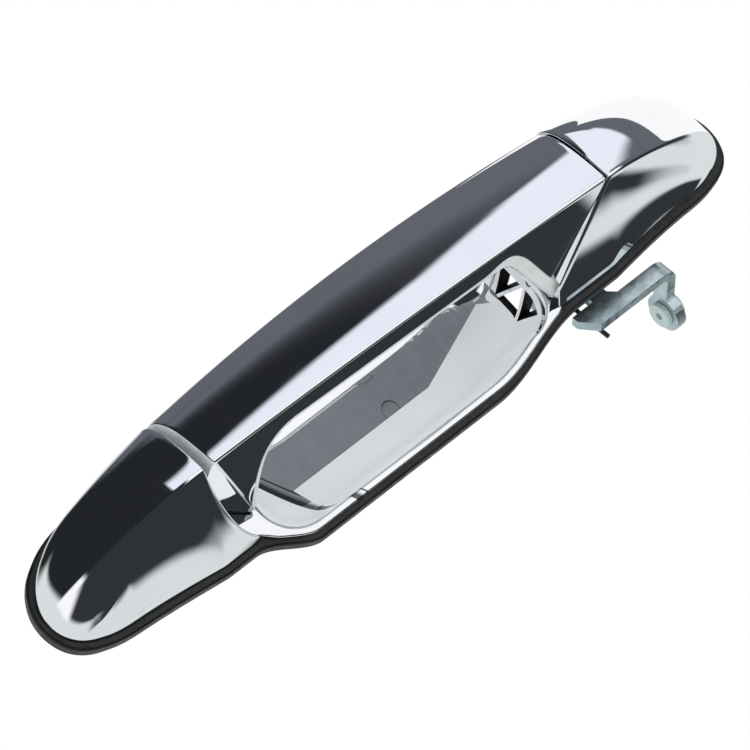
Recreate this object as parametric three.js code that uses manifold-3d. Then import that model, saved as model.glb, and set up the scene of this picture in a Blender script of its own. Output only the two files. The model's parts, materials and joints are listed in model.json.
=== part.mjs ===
// Pull-type outside door handle for a car, in millimetres.
//
// Frame: +X runs along the handle from the hinge end to the release end, +Z is up on the door, and the
// handle faces -Y. Y = 0 is the outer face of the door skin, where the back of the gasket lies. "Out" in
// the names below is the distance from that face towards the hand, so out = -Y.
import * as THREE from "three";
import { mergeVertices } from "three/addons/utils/BufferGeometryUtils.js";
import Module from "manifold-3d";

// ---------------------------------------------------------------- driving dimensions

// Plan outline of the chrome body, seen from the front.
const BODY_LEFT_LENGTH = 144.3;
const BODY_RIGHT_LENGTH = 146.6;
const BODY_HALF_HEIGHT = 23;
const NOSE_HALF_HEIGHT = 17.3;
const NOSE_LENGTH = 24.3;
const NOSE_STRAIGHT_LENGTH = 10.3;
const NOSE_FULLNESS = 2.6;
const NOSE_DROP_LEFT = 3;
const NOSE_DROP_RIGHT = 5.5;
const BULGE_DROP = 9;
const BULGE_LEFT_FROM_X = -75;
const BULGE_LEFT_TO_X = -54;
const BULGE_RIGHT_FROM_X = 24;
const BULGE_RIGHT_TO_X = 70;

// Crest: the sharp line between the front face and the lower face.
const CREST_OUT_MIDDLE = 46.5;
const CREST_OUT_SEAM = 43.3;
const CREST_Z_MIDDLE = -4.8;
const CREST_SLOPE = -0.022;
const CREST_FALL_START = 1.6;
const CREST_FALL_END = 0.7;

// Round shoulder of the front face: where its curve's handles and its end lie, as shares of the depth and
// of the height above the crest.
const SHOULDER_LOW_OUT = 0.93;
const SHOULDER_LOW_RISE = 0.62;
const SHOULDER_HIGH_OUT = 0.84;
const SHOULDER_END_OUT = 0.52;
const LEAST_FACE_HEIGHT = 0.4;
const LEAST_DEPTH = 0.1;

// Seams between the end caps and the strap.
const SEAM_LEFT_X = -86.5;
const SEAM_RIGHT_X = 87;
const SEAM_GAP = 0.6;
const STRAP_TIP_LEFT_X = -68;
const STRAP_TIP_RIGHT_X = 61;
const CAP_FOOT_LEFT_X = -70.5;
const CAP_FOOT_LEFT_Z = -22.6;
const CAP_CURVE_LEFT_X = -83.5;
const CAP_CURVE_LEFT_Z = -18.9;
const SEAM_FOOT_SPREAD = 3;

// Strap.
const STRAP_BACK_OUT = 7;
const STRAP_CROWN = 4;
const STRAP_WALL = 2.2;
const LOWER_FACE_SLOPE_LEFT = 0.325;
const LOWER_FACE_SLOPE_MIDDLE = 0.29;
const LOWER_FACE_SLOPE_RIGHT = 0.355;
const GRIP_OUT = 34.3;
const GRIP_SLANT = 0.27;
const GRIP_LEFT_X = -49;
const GRIP_RIGHT_X = 37;
const GRIP_LEFT_CORNER = 14;
const GRIP_LEFT_CORNER_DROP = 1;
const GRIP_RIGHT_CORNER = 9;
const GRIP_LEFT_TIP_INSET = 0.4;
const GRIP_LEFT_RISE_X = 4;
const GRIP_LEFT_RISE = 0.44;
const GRIP_RIGHT_RISE_X = 14;
const GRIP_RIGHT_RISE = 0.6;
const STRAP_HOLLOW_OUT = -2;
const BACKING_THICKNESS = 3;
const BACKING_SCREW_INSET = 12;
const BACKING_SCREW_Z = 1;
const BACKING_SCREW_HEAD = 1;
const CORE_INSET = 2;
const CORE_TOP_Z = 7;

// End caps.
const CAP_WALL = 2.4;
const CAP_END_WALL = 3.6;
const CAP_BOW_SEAM = 0.12;
const CAP_BOW_NOSE = 0.6;
const CAP_INNER_MARGIN = 5;
const CAP_NOSE_REACH = 0.995;

// Gasket and seats.
const GASKET_THICKNESS = 4;
const GASKET_LIP = 2.4;
const GASKET_WIDTH = 3.8;
const FIT_GAP = 0.3;
const SLIDE_GAP = 0.5;

// Bucket.
const RIM_THICKNESS = 1.4;
const RIM_LIP = 2.4;
const DISH_LEFT_X = -66;
const DISH_RIGHT_X = 61;
const DISH_TOP_Z = 14.5;
const DISH_FLOOR_OUT = -15;
const DISH_WALL = 2;
const DISH_CORNER = 14;
const DISH_MIDDLE_Z = -7;
const DISH_SHRINK_X = 0.62;
const DISH_WALL_EASE_X = 20;
const DISH_WALL_EASE_Z = 10;
const WINDOW_WIDTH = 9;
const WINDOW_STRUT = 1.3;
const WINDOW_COUNT = 3;
const WINDOW_TOP_Z = 1.5;
const WINDOW_FRONT_OUT = 1.5;
const WINDOW_BACK_OUT = -7.5;
const BUCKET_SCREW_PLACES = [{ x: -83.5, z: 9 }, { x: 66, z: 14 }, { x: 66, z: -1.5 }];
const POST_WALL = 1.2;
const POST_RECESS = 1.5;
const POST_BELOW_RIM = 0.2;
const POST_BORE_BELOW_RIM = 0.6;

// Chassis.
const CHASSIS_THICKNESS = 5.4;
const RAIL_HEIGHT = 3;
const RAIL_DEPTH = 13;
const RAIL_PAST_DISH = 4;
const UNDER_DISH_LEFT = 3;
const UNDER_DISH_RIGHT = 5;
const UNDER_DISH_TOP_Z = -10;
const LEVER_WINDOW_INSET = 2;
const LEVER_WINDOW_DEPTH = 8;
const LEVER_WINDOW_BOTTOM_Z = -2;
const LEVER_WINDOW_ABOVE_LEG = 2;

// Strap hinge.
const HINGE_X = -75;
const HINGE_OUT = 8;
const HINGE_BOTTOM_Z = -1;
const HINGE_LENGTH = 15;
const KNUCKLE_RADIUS = 5;
const HINGE_PIN_RADIUS = 2;
const HINGE_BUSH_WALL = 1;
const EAR_THICKNESS = 3;
const EAR_INSET = 0.5;
const STEM_INSET = 1;
const STEM_TOP_OUT = 34;
const HINGE_OPENING_SIDE = 1.2;
const HINGE_OPENING_REACH = 10;
const STRAP_TRAVEL_DEG = 5;

// Release lever.
const LEVER_PIVOT_Y = 10;
const LEVER_PIVOT_Z = -13;
const LEVER_TILT_DEG = 15;
const LEVER_REACH = 22.2;
const LEVER_THICKNESS = 3.8;
const LEVER_BARREL_X = 76.3;
const LEVER_BARREL_LENGTH = 7.5;
const LEVER_BARREL_RADIUS = 4.4;
const LEVER_PIN_RADIUS = 2.4;
const LEVER_EAR_LEFT_X = 65.5;
const LEVER_EAR_RIGHT_X = 84.5;
const LEVER_EAR_RADIUS = 5.2;
const LEVER_FINGER_WIDTH = 5;
const LEVER_FINGER_INSET = 0.8;
const LEVER_FINGER_CHAMFER = 1.2;
const LEVER_PLATE_LEFT_X = 67.5;
const LEVER_PLATE_TOP = -13.5;
const LEVER_PLATE_INSET = 0.5;
const LEVER_PLATE_SHOULDER = 2;
const LEVER_PLATE_CHAMFER_X = 5;
const LEVER_PLATE_CHAMFER_Z = 6;
const LEVER_ARM_TOP = -16;
const LEVER_ARM_WIDTH = 6;
const LEVER_BEND_X = 107.5;
const LEVER_BEND_RADIUS = 6;
const PAD_REACH = 21;
const PAD_DROP = -21;
const PAD_RADIUS = 7;
const ROD_HOLE_RADIUS = 2.7;
const ROD_RADIUS = 1.4;
const BUSHING_FLANGE_THICKNESS = 2;
const BUSHING_FLANGE_WIDTH = 1.8;
const PIN_HEAD_THICKNESS = 2;
const PIN_HEAD_WIDTH = 1.4;
const PIN_END = 3;
const CLIP_SET_OFF = 0.8;
const CLIP_THICKNESS = 1;
const CLIP_WIDTH = 2;
const CLIP_SLACK = 0.15;
const CLIP_GROOVE_DEPTH = 0.6;
const CLIP_SLOT_HALF_WIDTH = 1.6;

// Release leg on the strap.
const LEG_X = 72;
const LEG_THICKNESS = 3;
const LEG_BOTTOM_Z = 4;
const LEG_TOP_Z = 16;
const LEG_FOOT_THICKNESS = 2.4;
const LEG_FOOT_DROP = 3;
const LEG_FOOT_STEP = 2;
const LEG_BLADE_TOP_OUT = 34;
const LEG_PAD_LEFT = 5;
const LEG_PAD_RIGHT = 9;
const LEG_PAD_BELOW = 3;
const LEG_PAD_HEIGHT = 14;
const LEG_PAD_THICKNESS = 3;
const LEG_OPENING_OUT = 24;
const LEG_SLOT_ROOM = 1;

// Return spring.
const SPRING_WIRE_RADIUS = 0.85;
const SPRING_COIL_RADIUS = 5.2;
const SPRING_TURNS = 2.5;
const SPRING_LEG_LENGTH = 24;
const SPRING_LEG_LEAN = 1.05;
const SPRING_SIDE_GAP = 1;
const SPRING_HOOK_TOP = 9;
const SPRING_HOOK_STEP = 6;

// Fasteners.
const CAP_FIXING_Z = -2;
const STUD_RADIUS = 3;
const STUD_HEAD_RADIUS = 6;
const STUD_HEAD_THICKNESS = 2.4;
const STUD_LENGTH = 24;
const SCREW_RADIUS = 1.6;
const SCREW_HEAD_RADIUS = 3;
const SCREW_HEAD_THICKNESS = 2;
const SCREW_GRIP = 9;
const DRIVE_RADIUS = 1.3;
const DRIVE_DEPTH = 0.6;
const BOSS_WALL = 2;
const BUMPER_RADIUS = 2.6;
const BUMPER_X = 82;
const BUMPER_UPPER_Z = 14;
const BUMPER_LOWER_Z = -3;

// ---------------------------------------------------------------- values that follow from them

const SEAT_OUT = GASKET_THICKNESS + FIT_GAP;
const RIM_OUT = SEAT_OUT + RIM_THICKNESS;
const CHASSIS_FRONT_OUT = GASKET_THICKNESS - FIT_GAP / 3;
const CHASSIS_BACK_OUT = CHASSIS_FRONT_OUT - CHASSIS_THICKNESS;
const CHASSIS_INSET = GASKET_WIDTH - GASKET_LIP + SLIDE_GAP;
const FAR = 200;
const BEYOND = 60;
const PAST = 1;
const radians = THREE.MathUtils.degToRad;

// The dish gets narrower as it gets deeper: each pair is a share of its depth and the mouth's scale there.
const DISH_STEPS = [
  [-0.1, 1.004],
  [0, 1],
  [0.1, 0.965],
  [0.3, 0.915],
  [0.55, 0.85],
  [0.78, 0.765],
  [0.92, 0.67],
  [1, 0.52],
];

const chrome = { color: 0xd6d9dd, metalness: 1, roughness: 0.06 };
const blackPlastic = { color: 0x17181a, metalness: 0, roughness: 0.55 };
const rubber = { color: 0x0f0f10, metalness: 0, roughness: 0.8 };
const zinc = { color: 0xa9b6c1, metalness: 1, roughness: 0.35 };
const steel = { color: 0x8b9096, metalness: 1, roughness: 0.4 };
const darkSteel = { color: 0x2b2d30, metalness: 1, roughness: 0.45 };
const acetal = { color: 0xcfe3dc, metalness: 0, roughness: 0.45 };

const wasm = await Module();
wasm.setup();

const handle = new THREE.Group();
handle.name = "car_door_handle";

// ---------------------------------------------------------------- solids and meshes

function toSolid(geometry) {
  const bare = new THREE.BufferGeometry().setAttribute("position", geometry.getAttribute("position"));
  if (geometry.index) bare.setIndex(geometry.index);
  const merged = mergeVertices(bare, 1e-4);
  return new wasm.Manifold(
    new wasm.Mesh({
      numProp: 3,
      vertProperties: merged.attributes.position.array,
      triVerts: new Uint32Array(merged.index.array),
    }),
  );
}

function toGeometry(solid) {
  const mesh = solid.getMesh();
  const geometry = new THREE.BufferGeometry();
  geometry.setAttribute("position", new THREE.BufferAttribute(mesh.vertProperties, 3));
  geometry.setIndex(new THREE.BufferAttribute(mesh.triVerts, 1));
  geometry.computeVertexNormals();
  return geometry;
}

function addMesh(name, solid, look, place) {
  const material = new THREE.MeshStandardMaterial(look);
  const mesh = new THREE.Mesh(toGeometry(solid), material);
  mesh.name = name;
  if (place) place(mesh);
  handle.add(mesh);
}

// A plate with its outline in X and Z, from one distance out to another.
function plateXZ(outline, fromOut, toOut, holes = []) {
  const shape = new THREE.Shape(outline);
  shape.holes = holes.map((hole) => new THREE.Path(hole));
  const geometry = new THREE.ExtrudeGeometry(shape, { depth: toOut - fromOut, bevelEnabled: false });
  geometry.rotateX(Math.PI / 2);
  geometry.translate(0, -fromOut, 0);
  return toSolid(geometry);
}

// A prism with its outline in X and out, between two heights.
function prismXOut(outline, fromZ, toZ) {
  const flipped = outline.map((point) => new THREE.Vector2(point.x, -point.y));
  const shape = new THREE.Shape(flipped);
  const geometry = new THREE.ExtrudeGeometry(shape, { depth: toZ - fromZ, bevelEnabled: false });
  geometry.translate(0, 0, fromZ);
  return toSolid(geometry);
}

// A prism with its outline in out and Z, between two places along X.
function prismOutZ(outline, fromX, toX) {
  const shape = new THREE.Shape(outline.map(([out, z]) => new THREE.Vector2(-out, z)));
  const geometry = new THREE.ExtrudeGeometry(shape, { depth: toX - fromX, bevelEnabled: false });
  geometry.rotateY(Math.PI / 2);
  geometry.rotateX(Math.PI / 2);
  geometry.translate(fromX, 0, 0);
  return toSolid(geometry);
}

function box(fromX, toX, fromOut, toOut, fromZ, toZ) {
  const geometry = new THREE.BoxGeometry(toX - fromX, toOut - fromOut, toZ - fromZ);
  geometry.translate((fromX + toX) / 2, -(fromOut + toOut) / 2, (fromZ + toZ) / 2);
  return toSolid(geometry);
}

function cylinderY(radius, x, z, fromOut, toOut, sides = 20) {
  const geometry = new THREE.CylinderGeometry(radius, radius, toOut - fromOut, sides);
  geometry.translate(x, -(fromOut + toOut) / 2, z);
  return toSolid(geometry);
}

function cylinderZ(radius, x, out, fromZ, toZ, sides = 24) {
  const geometry = new THREE.CylinderGeometry(radius, radius, toZ - fromZ, sides);
  geometry.rotateX(Math.PI / 2);
  geometry.translate(x, -out, (fromZ + toZ) / 2);
  return toSolid(geometry);
}

function cylinderX(radius, y, z, fromX, toX, sides = 24) {
  const geometry = new THREE.CylinderGeometry(radius, radius, toX - fromX, sides);
  geometry.rotateZ(Math.PI / 2);
  geometry.translate((fromX + toX) / 2, y, z);
  return toSolid(geometry);
}

// A closed solid through rings of equally many points, each ring flat and listed the same way round.
function loft(rings, flatten) {
  const count = rings[0].length;
  const positions = rings.flat().flatMap((point) => [point.x, point.y, point.z]);
  const faces = [];
  for (let ring = 0; ring + 1 < rings.length; ring++) {
    for (let i = 0; i < count; i++) {
      const a = ring * count + i;
      const b = ring * count + ((i + 1) % count);
      faces.push(a, b, b + count, a, b + count, a + count);
    }
  }
  const last = (rings.length - 1) * count;
  for (const [a, b, c] of THREE.ShapeUtils.triangulateShape(rings[0].map(flatten), [])) {
    faces.push(c, b, a);
  }
  for (const [a, b, c] of THREE.ShapeUtils.triangulateShape(rings[rings.length - 1].map(flatten), [])) {
    faces.push(last + a, last + b, last + c);
  }
  const geometry = new THREE.BufferGeometry();
  geometry.setAttribute("position", new THREE.Float32BufferAttribute(positions, 3));
  geometry.setIndex(faces);
  const solid = toSolid(geometry);
  if (solid.volume() > 0) return solid;
  for (let i = 0; i < faces.length; i += 3) {
    [faces[i + 1], faces[i + 2]] = [faces[i + 2], faces[i + 1]];
  }
  geometry.setIndex(faces);
  return toSolid(geometry);
}

const sum = (first, ...rest) => rest.reduce((whole, piece) => whole.add(piece), first);
const cut = (first, ...rest) => rest.reduce((whole, piece) => whole.subtract(piece), first);

// ---------------------------------------------------------------- the body's shape

function ease(from, to, x) {
  return THREE.MathUtils.smoothstep(x, from, to);
}

const bodyEnd = (x) => (x < 0 ? BODY_LEFT_LENGTH : BODY_RIGHT_LENGTH);
const seamAt = (x) => (x < 0 ? -SEAM_LEFT_X : SEAM_RIGHT_X);

// How far along the cap x lies: 0 at the seam and inside it, 1 at the end of the body.
function alongCap(x) {
  return THREE.MathUtils.clamp((Math.abs(x) - seamAt(x)) / (bodyEnd(x) - seamAt(x)), 0, 1);
}

// Half height of the plan outline, grown outwards by grow.
function halfHeight(x, grow = 0) {
  const u = Math.abs(x);
  const taperLength = bodyEnd(x) - NOSE_STRAIGHT_LENGTH - seamAt(x);
  const taper = THREE.MathUtils.clamp((u - seamAt(x)) / taperLength, 0, 1);
  const height = THREE.MathUtils.lerp(BODY_HALF_HEIGHT, NOSE_HALF_HEIGHT, taper) + grow;
  const t = THREE.MathUtils.clamp((u - bodyEnd(x) + NOSE_LENGTH) / (NOSE_LENGTH + grow), 0, 1);
  return height * Math.sqrt(1 - t ** NOSE_FULLNESS);
}

function bulge(x) {
  const rise = ease(BULGE_LEFT_FROM_X, BULGE_LEFT_TO_X, x);
  return BULGE_DROP * rise * (1 - ease(BULGE_RIGHT_FROM_X, BULGE_RIGHT_TO_X, x));
}

// The middle of the outline sinks a little towards both noses.
const middleZ = (x) => -(x < 0 ? NOSE_DROP_LEFT : NOSE_DROP_RIGHT) * alongCap(x) ** 3;
const topEdge = (x, grow = 0) => middleZ(x) + halfHeight(x, grow);
const bottomEdge = (x, grow = 0) => middleZ(x) - halfHeight(x, grow) - bulge(x);

// X stations along the whole body, closer together on the round noses.
function stations(grow = 0) {
  const leftStart = NOSE_LENGTH - BODY_LEFT_LENGTH;
  const rightStart = BODY_RIGHT_LENGTH - NOSE_LENGTH;
  const nose = [1, 2, 3, 4, 5, 6].map((i) => (NOSE_LENGTH + grow) * Math.sin((i * Math.PI) / 12));
  const middle = Array.from({ length: 25 }, (_, i) => THREE.MathUtils.lerp(leftStart, rightStart, i / 24));
  const leftNose = nose.map((reach) => leftStart - reach).reverse();
  const rightNose = nose.map((reach) => rightStart + reach);
  return [...leftNose, ...middle, ...rightNose];
}

// The plan outline: the lower edge from left to right, then the upper edge back.
function planOutline(grow) {
  const along = stations(grow);
  const lower = along.map((x) => new THREE.Vector2(x, bottomEdge(x, grow)));
  const upper = along.slice(1, -1).map((x) => new THREE.Vector2(x, topEdge(x, grow)));
  return [...lower, ...upper.reverse()];
}

function crestOut(x) {
  const t = alongCap(x);
  if (t === 0) {
    return CREST_OUT_MIDDLE + (CREST_OUT_SEAM - CREST_OUT_MIDDLE) * (x / seamAt(x)) ** 2;
  }
  return SEAT_OUT + (CREST_OUT_SEAM - SEAT_OUT) * (1 - t ** CREST_FALL_START) ** CREST_FALL_END;
}

const crestZ = (x) => CREST_Z_MIDDLE + CREST_SLOPE * x;

// Height of the strap's flat lower face, at x and at a distance out.
function lowerFaceZ(x, out) {
  const [endSlope, tipX] = x < 0
    ? [LOWER_FACE_SLOPE_LEFT, STRAP_TIP_LEFT_X]
    : [LOWER_FACE_SLOPE_RIGHT, STRAP_TIP_RIGHT_X];
  const slope = LOWER_FACE_SLOPE_MIDDLE + (endSlope - LOWER_FACE_SLOPE_MIDDLE) * (x / tipX) ** 2;
  return crestZ(x) - slope * (crestOut(x) - out);
}

// One cross-section of the body at x: the lower face from the base to the crest, then the front face over
// the round shoulder to the base again. Inset moves every wall inwards, and bow rounds the lower face.
function section(x, { baseOut, topZ, bottomZ, bow, inset }) {
  const crest = new THREE.Vector2(Math.max(crestOut(x) - inset, baseOut + LEAST_DEPTH), crestZ(x));
  const depth = crest.x - baseOut;
  const top = topZ(x) - inset;
  const base = new THREE.Vector2(baseOut, Math.min(bottomZ(x) + inset, crest.y - LEAST_DEPTH));
  const straight = base.clone().lerp(crest, 0.5);
  const bowed = straight.clone().lerp(new THREE.Vector2(crest.x, base.y), bow(x));
  const lower = new THREE.QuadraticBezierCurve(base, bowed, crest);
  const shoulderLowZ = THREE.MathUtils.lerp(crest.y, top, SHOULDER_LOW_RISE);
  const front = new THREE.CubicBezierCurve(
    crest,
    new THREE.Vector2(baseOut + SHOULDER_LOW_OUT * depth, shoulderLowZ),
    new THREE.Vector2(baseOut + SHOULDER_HIGH_OUT * depth, top),
    new THREE.Vector2(baseOut + SHOULDER_END_OUT * depth, top),
  );
  const backTop = new THREE.Vector2(baseOut, top);
  const points = [...lower.getPoints(4), ...front.getPoints(8).slice(1), backTop];
  return points.map((point) => new THREE.Vector3(x, -point.x, point.y));
}

const flattenSection = (point) => new THREE.Vector2(-point.y, point.z);

function capForm(baseOut, inset) {
  const least = inset + LEAST_FACE_HEIGHT;
  return {
    baseOut,
    inset,
    bow: (x) => THREE.MathUtils.lerp(CAP_BOW_SEAM, CAP_BOW_NOSE, alongCap(x)),
    topZ: (x) => Math.max(topEdge(x), crestZ(x) + least),
    bottomZ: (x) => Math.min(bottomEdge(x) + bulge(x), crestZ(x) - least),
  };
}

function strapForm(baseOut, inset) {
  return {
    baseOut,
    inset,
    bow: () => 0,
    topZ: (x) => topEdge(x) + STRAP_CROWN * (1 - (x / seamAt(x)) ** 2),
    bottomZ: (x) => lowerFaceZ(x, baseOut),
  };
}

function bodySolid(alongX, form) {
  return loft(alongX.map((x) => section(x, form)), flattenSection);
}

// ---------------------------------------------------------------- seams

const strapTip = (side) => {
  const x = side < 0 ? STRAP_TIP_LEFT_X : STRAP_TIP_RIGHT_X;
  return new THREE.Vector2(x, lowerFaceZ(x, STRAP_BACK_OUT));
};

// Below the crest the strap's edge and the right cap's edge are straight as seen from the front. The left
// cap's edge curves down to the rim, which leaves a gap that opens towards the strap's tip.
const crestCorner = (side) => new THREE.Vector2(side * seamAt(side), crestZ(side * seamAt(side)));
const straightEdge = (side) => [crestCorner(side), strapTip(side)];
const leftCapEdge = new THREE.QuadraticBezierCurve(
  crestCorner(-1),
  new THREE.Vector2(CAP_CURVE_LEFT_X, CAP_CURVE_LEFT_Z),
  new THREE.Vector2(CAP_FOOT_LEFT_X, CAP_FOOT_LEFT_Z),
);
const capEdge = (side) => (side < 0 ? leftCapEdge.getPoints(6) : straightEdge(side));

// Everything on the cap's side of a seam, from behind the handle to in front of it. Seen from the front the
// seam runs down to the crest, along the edge to its foot and out below; shift moves it along X.
function capRegion(side, shift = 0, edge = capEdge(side)) {
  const foot = edge[edge.length - 1];
  const above = new THREE.Vector2(edge[0].x, BEYOND);
  const below = new THREE.Vector2(foot.x + side * SEAM_FOOT_SPREAD, -BEYOND);
  const shifted = [above, ...edge, below].map((point) => new THREE.Vector2(point.x + side * shift, point.y));
  const farSide = [new THREE.Vector2(side * FAR, -BEYOND), new THREE.Vector2(side * FAR, BEYOND)];
  return plateXZ([...shifted, ...farSide], -FAR, FAR);
}

function turnAboutHinge(solid, degrees) {
  return solid
    .translate([-HINGE_X, HINGE_OUT, 0])
    .rotate([0, 0, degrees])
    .translate([HINGE_X, -HINGE_OUT, 0]);
}

// ---------------------------------------------------------------- end caps

// Along each cap the stud lies in the middle, with a screw half way to either end.
const STUD_PLACES = [-1, 1].map((side) => ({
  x: (side * (seamAt(side) + bodyEnd(side))) / 2,
  z: CAP_FIXING_Z,
}));

function capScrewPlaces(side) {
  const quarter = (bodyEnd(side) - seamAt(side)) / 4;
  return [1, 3].map((i) => ({ x: side * (seamAt(side) + i * quarter), z: CAP_FIXING_Z }));
}

for (const [side, name] of [[-1, "left_end_cap"], [1, "right_end_cap"]]) {
  const end = bodyEnd(side);
  const noseStart = end - NOSE_LENGTH;
  const innerStart = Math.min(-STRAP_TIP_LEFT_X, STRAP_TIP_RIGHT_X) - CAP_INNER_MARGIN;
  const inner = Array.from({ length: 8 }, (_, i) => THREE.MathUtils.lerp(innerStart, noseStart, i / 8));
  const nose = [0, 1, 2, 3, 4, 5, 6].map((i) => CAP_NOSE_REACH * NOSE_LENGTH * Math.sin((i * Math.PI) / 12));
  const along = [...inner, ...nose.map((reach) => noseStart + reach)];
  const outside = bodySolid(along.map((u) => side * u), capForm(SEAT_OUT, 0));
  const hollowEnd = end - CAP_WALL;
  const hollowAlong = along.map((u) => Math.min(u, hollowEnd)).filter((u, i, all) => u !== all[i - 1]);
  const hollow = bodySolid(hollowAlong.map((u) => side * u), capForm(SEAT_OUT - PAST, CAP_WALL));
  const bosses = capScrewPlaces(side).map(({ x, z }) =>
    cylinderY(SCREW_RADIUS + BOSS_WALL, x, z, SEAT_OUT, crestOut(x) - CAP_WALL, 16),
  );
  const bores = capScrewPlaces(side).map(({ x, z }) =>
    cylinderY(SCREW_RADIUS + FIT_GAP / 2, x, z, 0, SEAT_OUT + SCREW_GRIP + PAST, 12),
  );
  const room = hollow.intersect(capRegion(side, CAP_END_WALL));
  const shell = outside.intersect(capRegion(side)).subtract(room);
  const posts = sum(...bosses).intersect(outside);
  addMesh(name, cut(shell.add(posts), ...bores), chrome);
}

// ---------------------------------------------------------------- strap

// The grip's inner side at height z, seen from above, with how far out it lies; grow moves it outwards.
function gripLine(grow, z) {
  const out = GRIP_OUT - GRIP_SLANT * z + grow;
  const back = STRAP_BACK_OUT + grow;
  const leftRise = THREE.MathUtils.lerp(back, out, GRIP_LEFT_RISE);
  const rightRise = THREE.MathUtils.lerp(back, out, GRIP_RIGHT_RISE);
  const left = new THREE.CubicBezierCurve(
    new THREE.Vector2(STRAP_TIP_LEFT_X + GRIP_LEFT_TIP_INSET - grow, back),
    new THREE.Vector2(STRAP_TIP_LEFT_X + GRIP_LEFT_RISE_X - grow, leftRise),
    new THREE.Vector2(GRIP_LEFT_X - GRIP_LEFT_CORNER - grow, out - GRIP_LEFT_CORNER_DROP),
    new THREE.Vector2(GRIP_LEFT_X, out),
  );
  const right = new THREE.CubicBezierCurve(
    new THREE.Vector2(GRIP_RIGHT_X, out),
    new THREE.Vector2(GRIP_RIGHT_X + GRIP_RIGHT_CORNER + grow, out),
    new THREE.Vector2(STRAP_TIP_RIGHT_X - GRIP_RIGHT_RISE_X + grow, rightRise),
    new THREE.Vector2(STRAP_TIP_RIGHT_X + grow, back),
  );
  return [...left.getPoints(8), ...right.getPoints(8)];
}

// Everything behind the grip's slanting inner side.
function belowGrip(grow = 0) {
  const back = STRAP_BACK_OUT + grow;
  const ends = [new THREE.Vector2(FAR, back), new THREE.Vector2(FAR, -FAR)];
  const starts = [new THREE.Vector2(-FAR, -FAR), new THREE.Vector2(-FAR, back)];
  const rings = [-BEYOND, BEYOND].map((z) =>
    [...gripLine(grow, z), ...ends, ...starts].map((point) => new THREE.Vector3(point.x, -point.y, z)),
  );
  return loft(rings, (point) => new THREE.Vector2(point.x, point.y));
}

const strapStations = Array.from({ length: 25 }, (_, i) =>
  THREE.MathUtils.lerp(SEAM_LEFT_X - PAST, SEAM_RIGHT_X + PAST, i / 24),
);

// The strap keeps clear of both caps at rest and with the hinge fully open.
function beyondStrapEnds(wall) {
  const shift = -SEAM_GAP - wall;
  const leftCapWhenOpen = turnAboutHinge(capRegion(-1, shift), STRAP_TRAVEL_DEG);
  return sum(capRegion(-1, shift, straightEdge(-1)), capRegion(1, shift), leftCapWhenOpen);
}

const strapOutside = bodySolid(strapStations, strapForm(0, 0));
const strapKeepOut = beyondStrapEnds(0);
const shellKeepOut = beyondStrapEnds(CAP_END_WALL);

function strapHollow(gap) {
  return bodySolid(strapStations, strapForm(STRAP_HOLLOW_OUT, STRAP_WALL + gap)).subtract(shellKeepOut);
}

const hingeTopZ = HINGE_BOTTOM_Z + HINGE_LENGTH;
const earBottomZ = HINGE_BOTTOM_Z - FIT_GAP - EAR_THICKNESS;
const earTopZ = hingeTopZ + FIT_GAP + EAR_THICKNESS;
const hingeOpening = box(
  HINGE_X - KNUCKLE_RADIUS - HINGE_OPENING_SIDE,
  HINGE_X + KNUCKLE_RADIUS + HINGE_OPENING_SIDE,
  -FAR,
  HINGE_OUT + KNUCKLE_RADIUS + HINGE_OPENING_REACH,
  earBottomZ - SLIDE_GAP,
  earTopZ + SLIDE_GAP,
);
const strapShell = cut(strapOutside, strapKeepOut, belowGrip(), strapHollow(0), hingeOpening);
addMesh("strap_shell", strapShell, chrome);

const strapSwing = Math.sin(radians(STRAP_TRAVEL_DEG));
const legSweep = (LEVER_PIVOT_Y + LEVER_REACH + HINGE_OUT) * strapSwing;
const legOpening = box(
  LEG_X - SLIDE_GAP,
  LEG_X + LEG_THICKNESS + SLIDE_GAP,
  -FAR,
  LEG_OPENING_OUT,
  LEG_BOTTOM_Z - SLIDE_GAP,
  LEG_TOP_Z + SLIDE_GAP,
);

const backingScrewPlaces = [GRIP_LEFT_X + BACKING_SCREW_INSET, GRIP_RIGHT_X - BACKING_SCREW_INSET]
  .map((x) => ({ x, z: BACKING_SCREW_Z }));
const backingScrewHeadOut = GRIP_OUT - GRIP_SLANT * BACKING_SCREW_Z + BACKING_THICKNESS / 2;
const backingBores = backingScrewPlaces.flatMap(({ x, z }) => [
  cylinderY(SCREW_RADIUS + FIT_GAP, x, z, 0, FAR, 12),
  cylinderY(SCREW_HEAD_RADIUS + FIT_GAP, x, z, 0, backingScrewHeadOut, 16),
]);
const backing = strapHollow(FIT_GAP).intersect(belowGrip(BACKING_THICKNESS));
addMesh("strap_backing", cut(backing, belowGrip(), hingeOpening, legOpening, ...backingBores), blackPlastic);

// The core is a bar inside the strap that the backing screws into.
const coreBar = box(GRIP_LEFT_X + CORE_INSET, GRIP_RIGHT_X - CORE_INSET, 0, FAR, crestZ(0), CORE_TOP_Z);
const coreFitted = coreBar.intersect(strapHollow(FIT_GAP)).subtract(belowGrip(BACKING_THICKNESS + FIT_GAP));
const coreBores = backingScrewPlaces.map(({ x, z }) =>
  cylinderY(SCREW_RADIUS + FIT_GAP / 2, x, z, 0, FAR, 12),
);
addMesh("strap_core", cut(coreFitted, ...coreBores), steel);

backingScrewPlaces.forEach(({ x, z }, i) => {
  const headFront = backingScrewHeadOut - FIT_GAP;
  const headBack = headFront - BACKING_SCREW_HEAD;
  const shankBack = headFront - BACKING_SCREW_HEAD / 2;
  const head = cylinderY(SCREW_HEAD_RADIUS, x, z, headBack, headFront, 16);
  const shank = cylinderY(SCREW_RADIUS, x, z, shankBack, headFront + SCREW_GRIP / 2, 12);
  addMesh(`backing_screw_${i + 1}`, head.add(shank), darkSteel);
});

// ---------------------------------------------------------------- hinge

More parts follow.
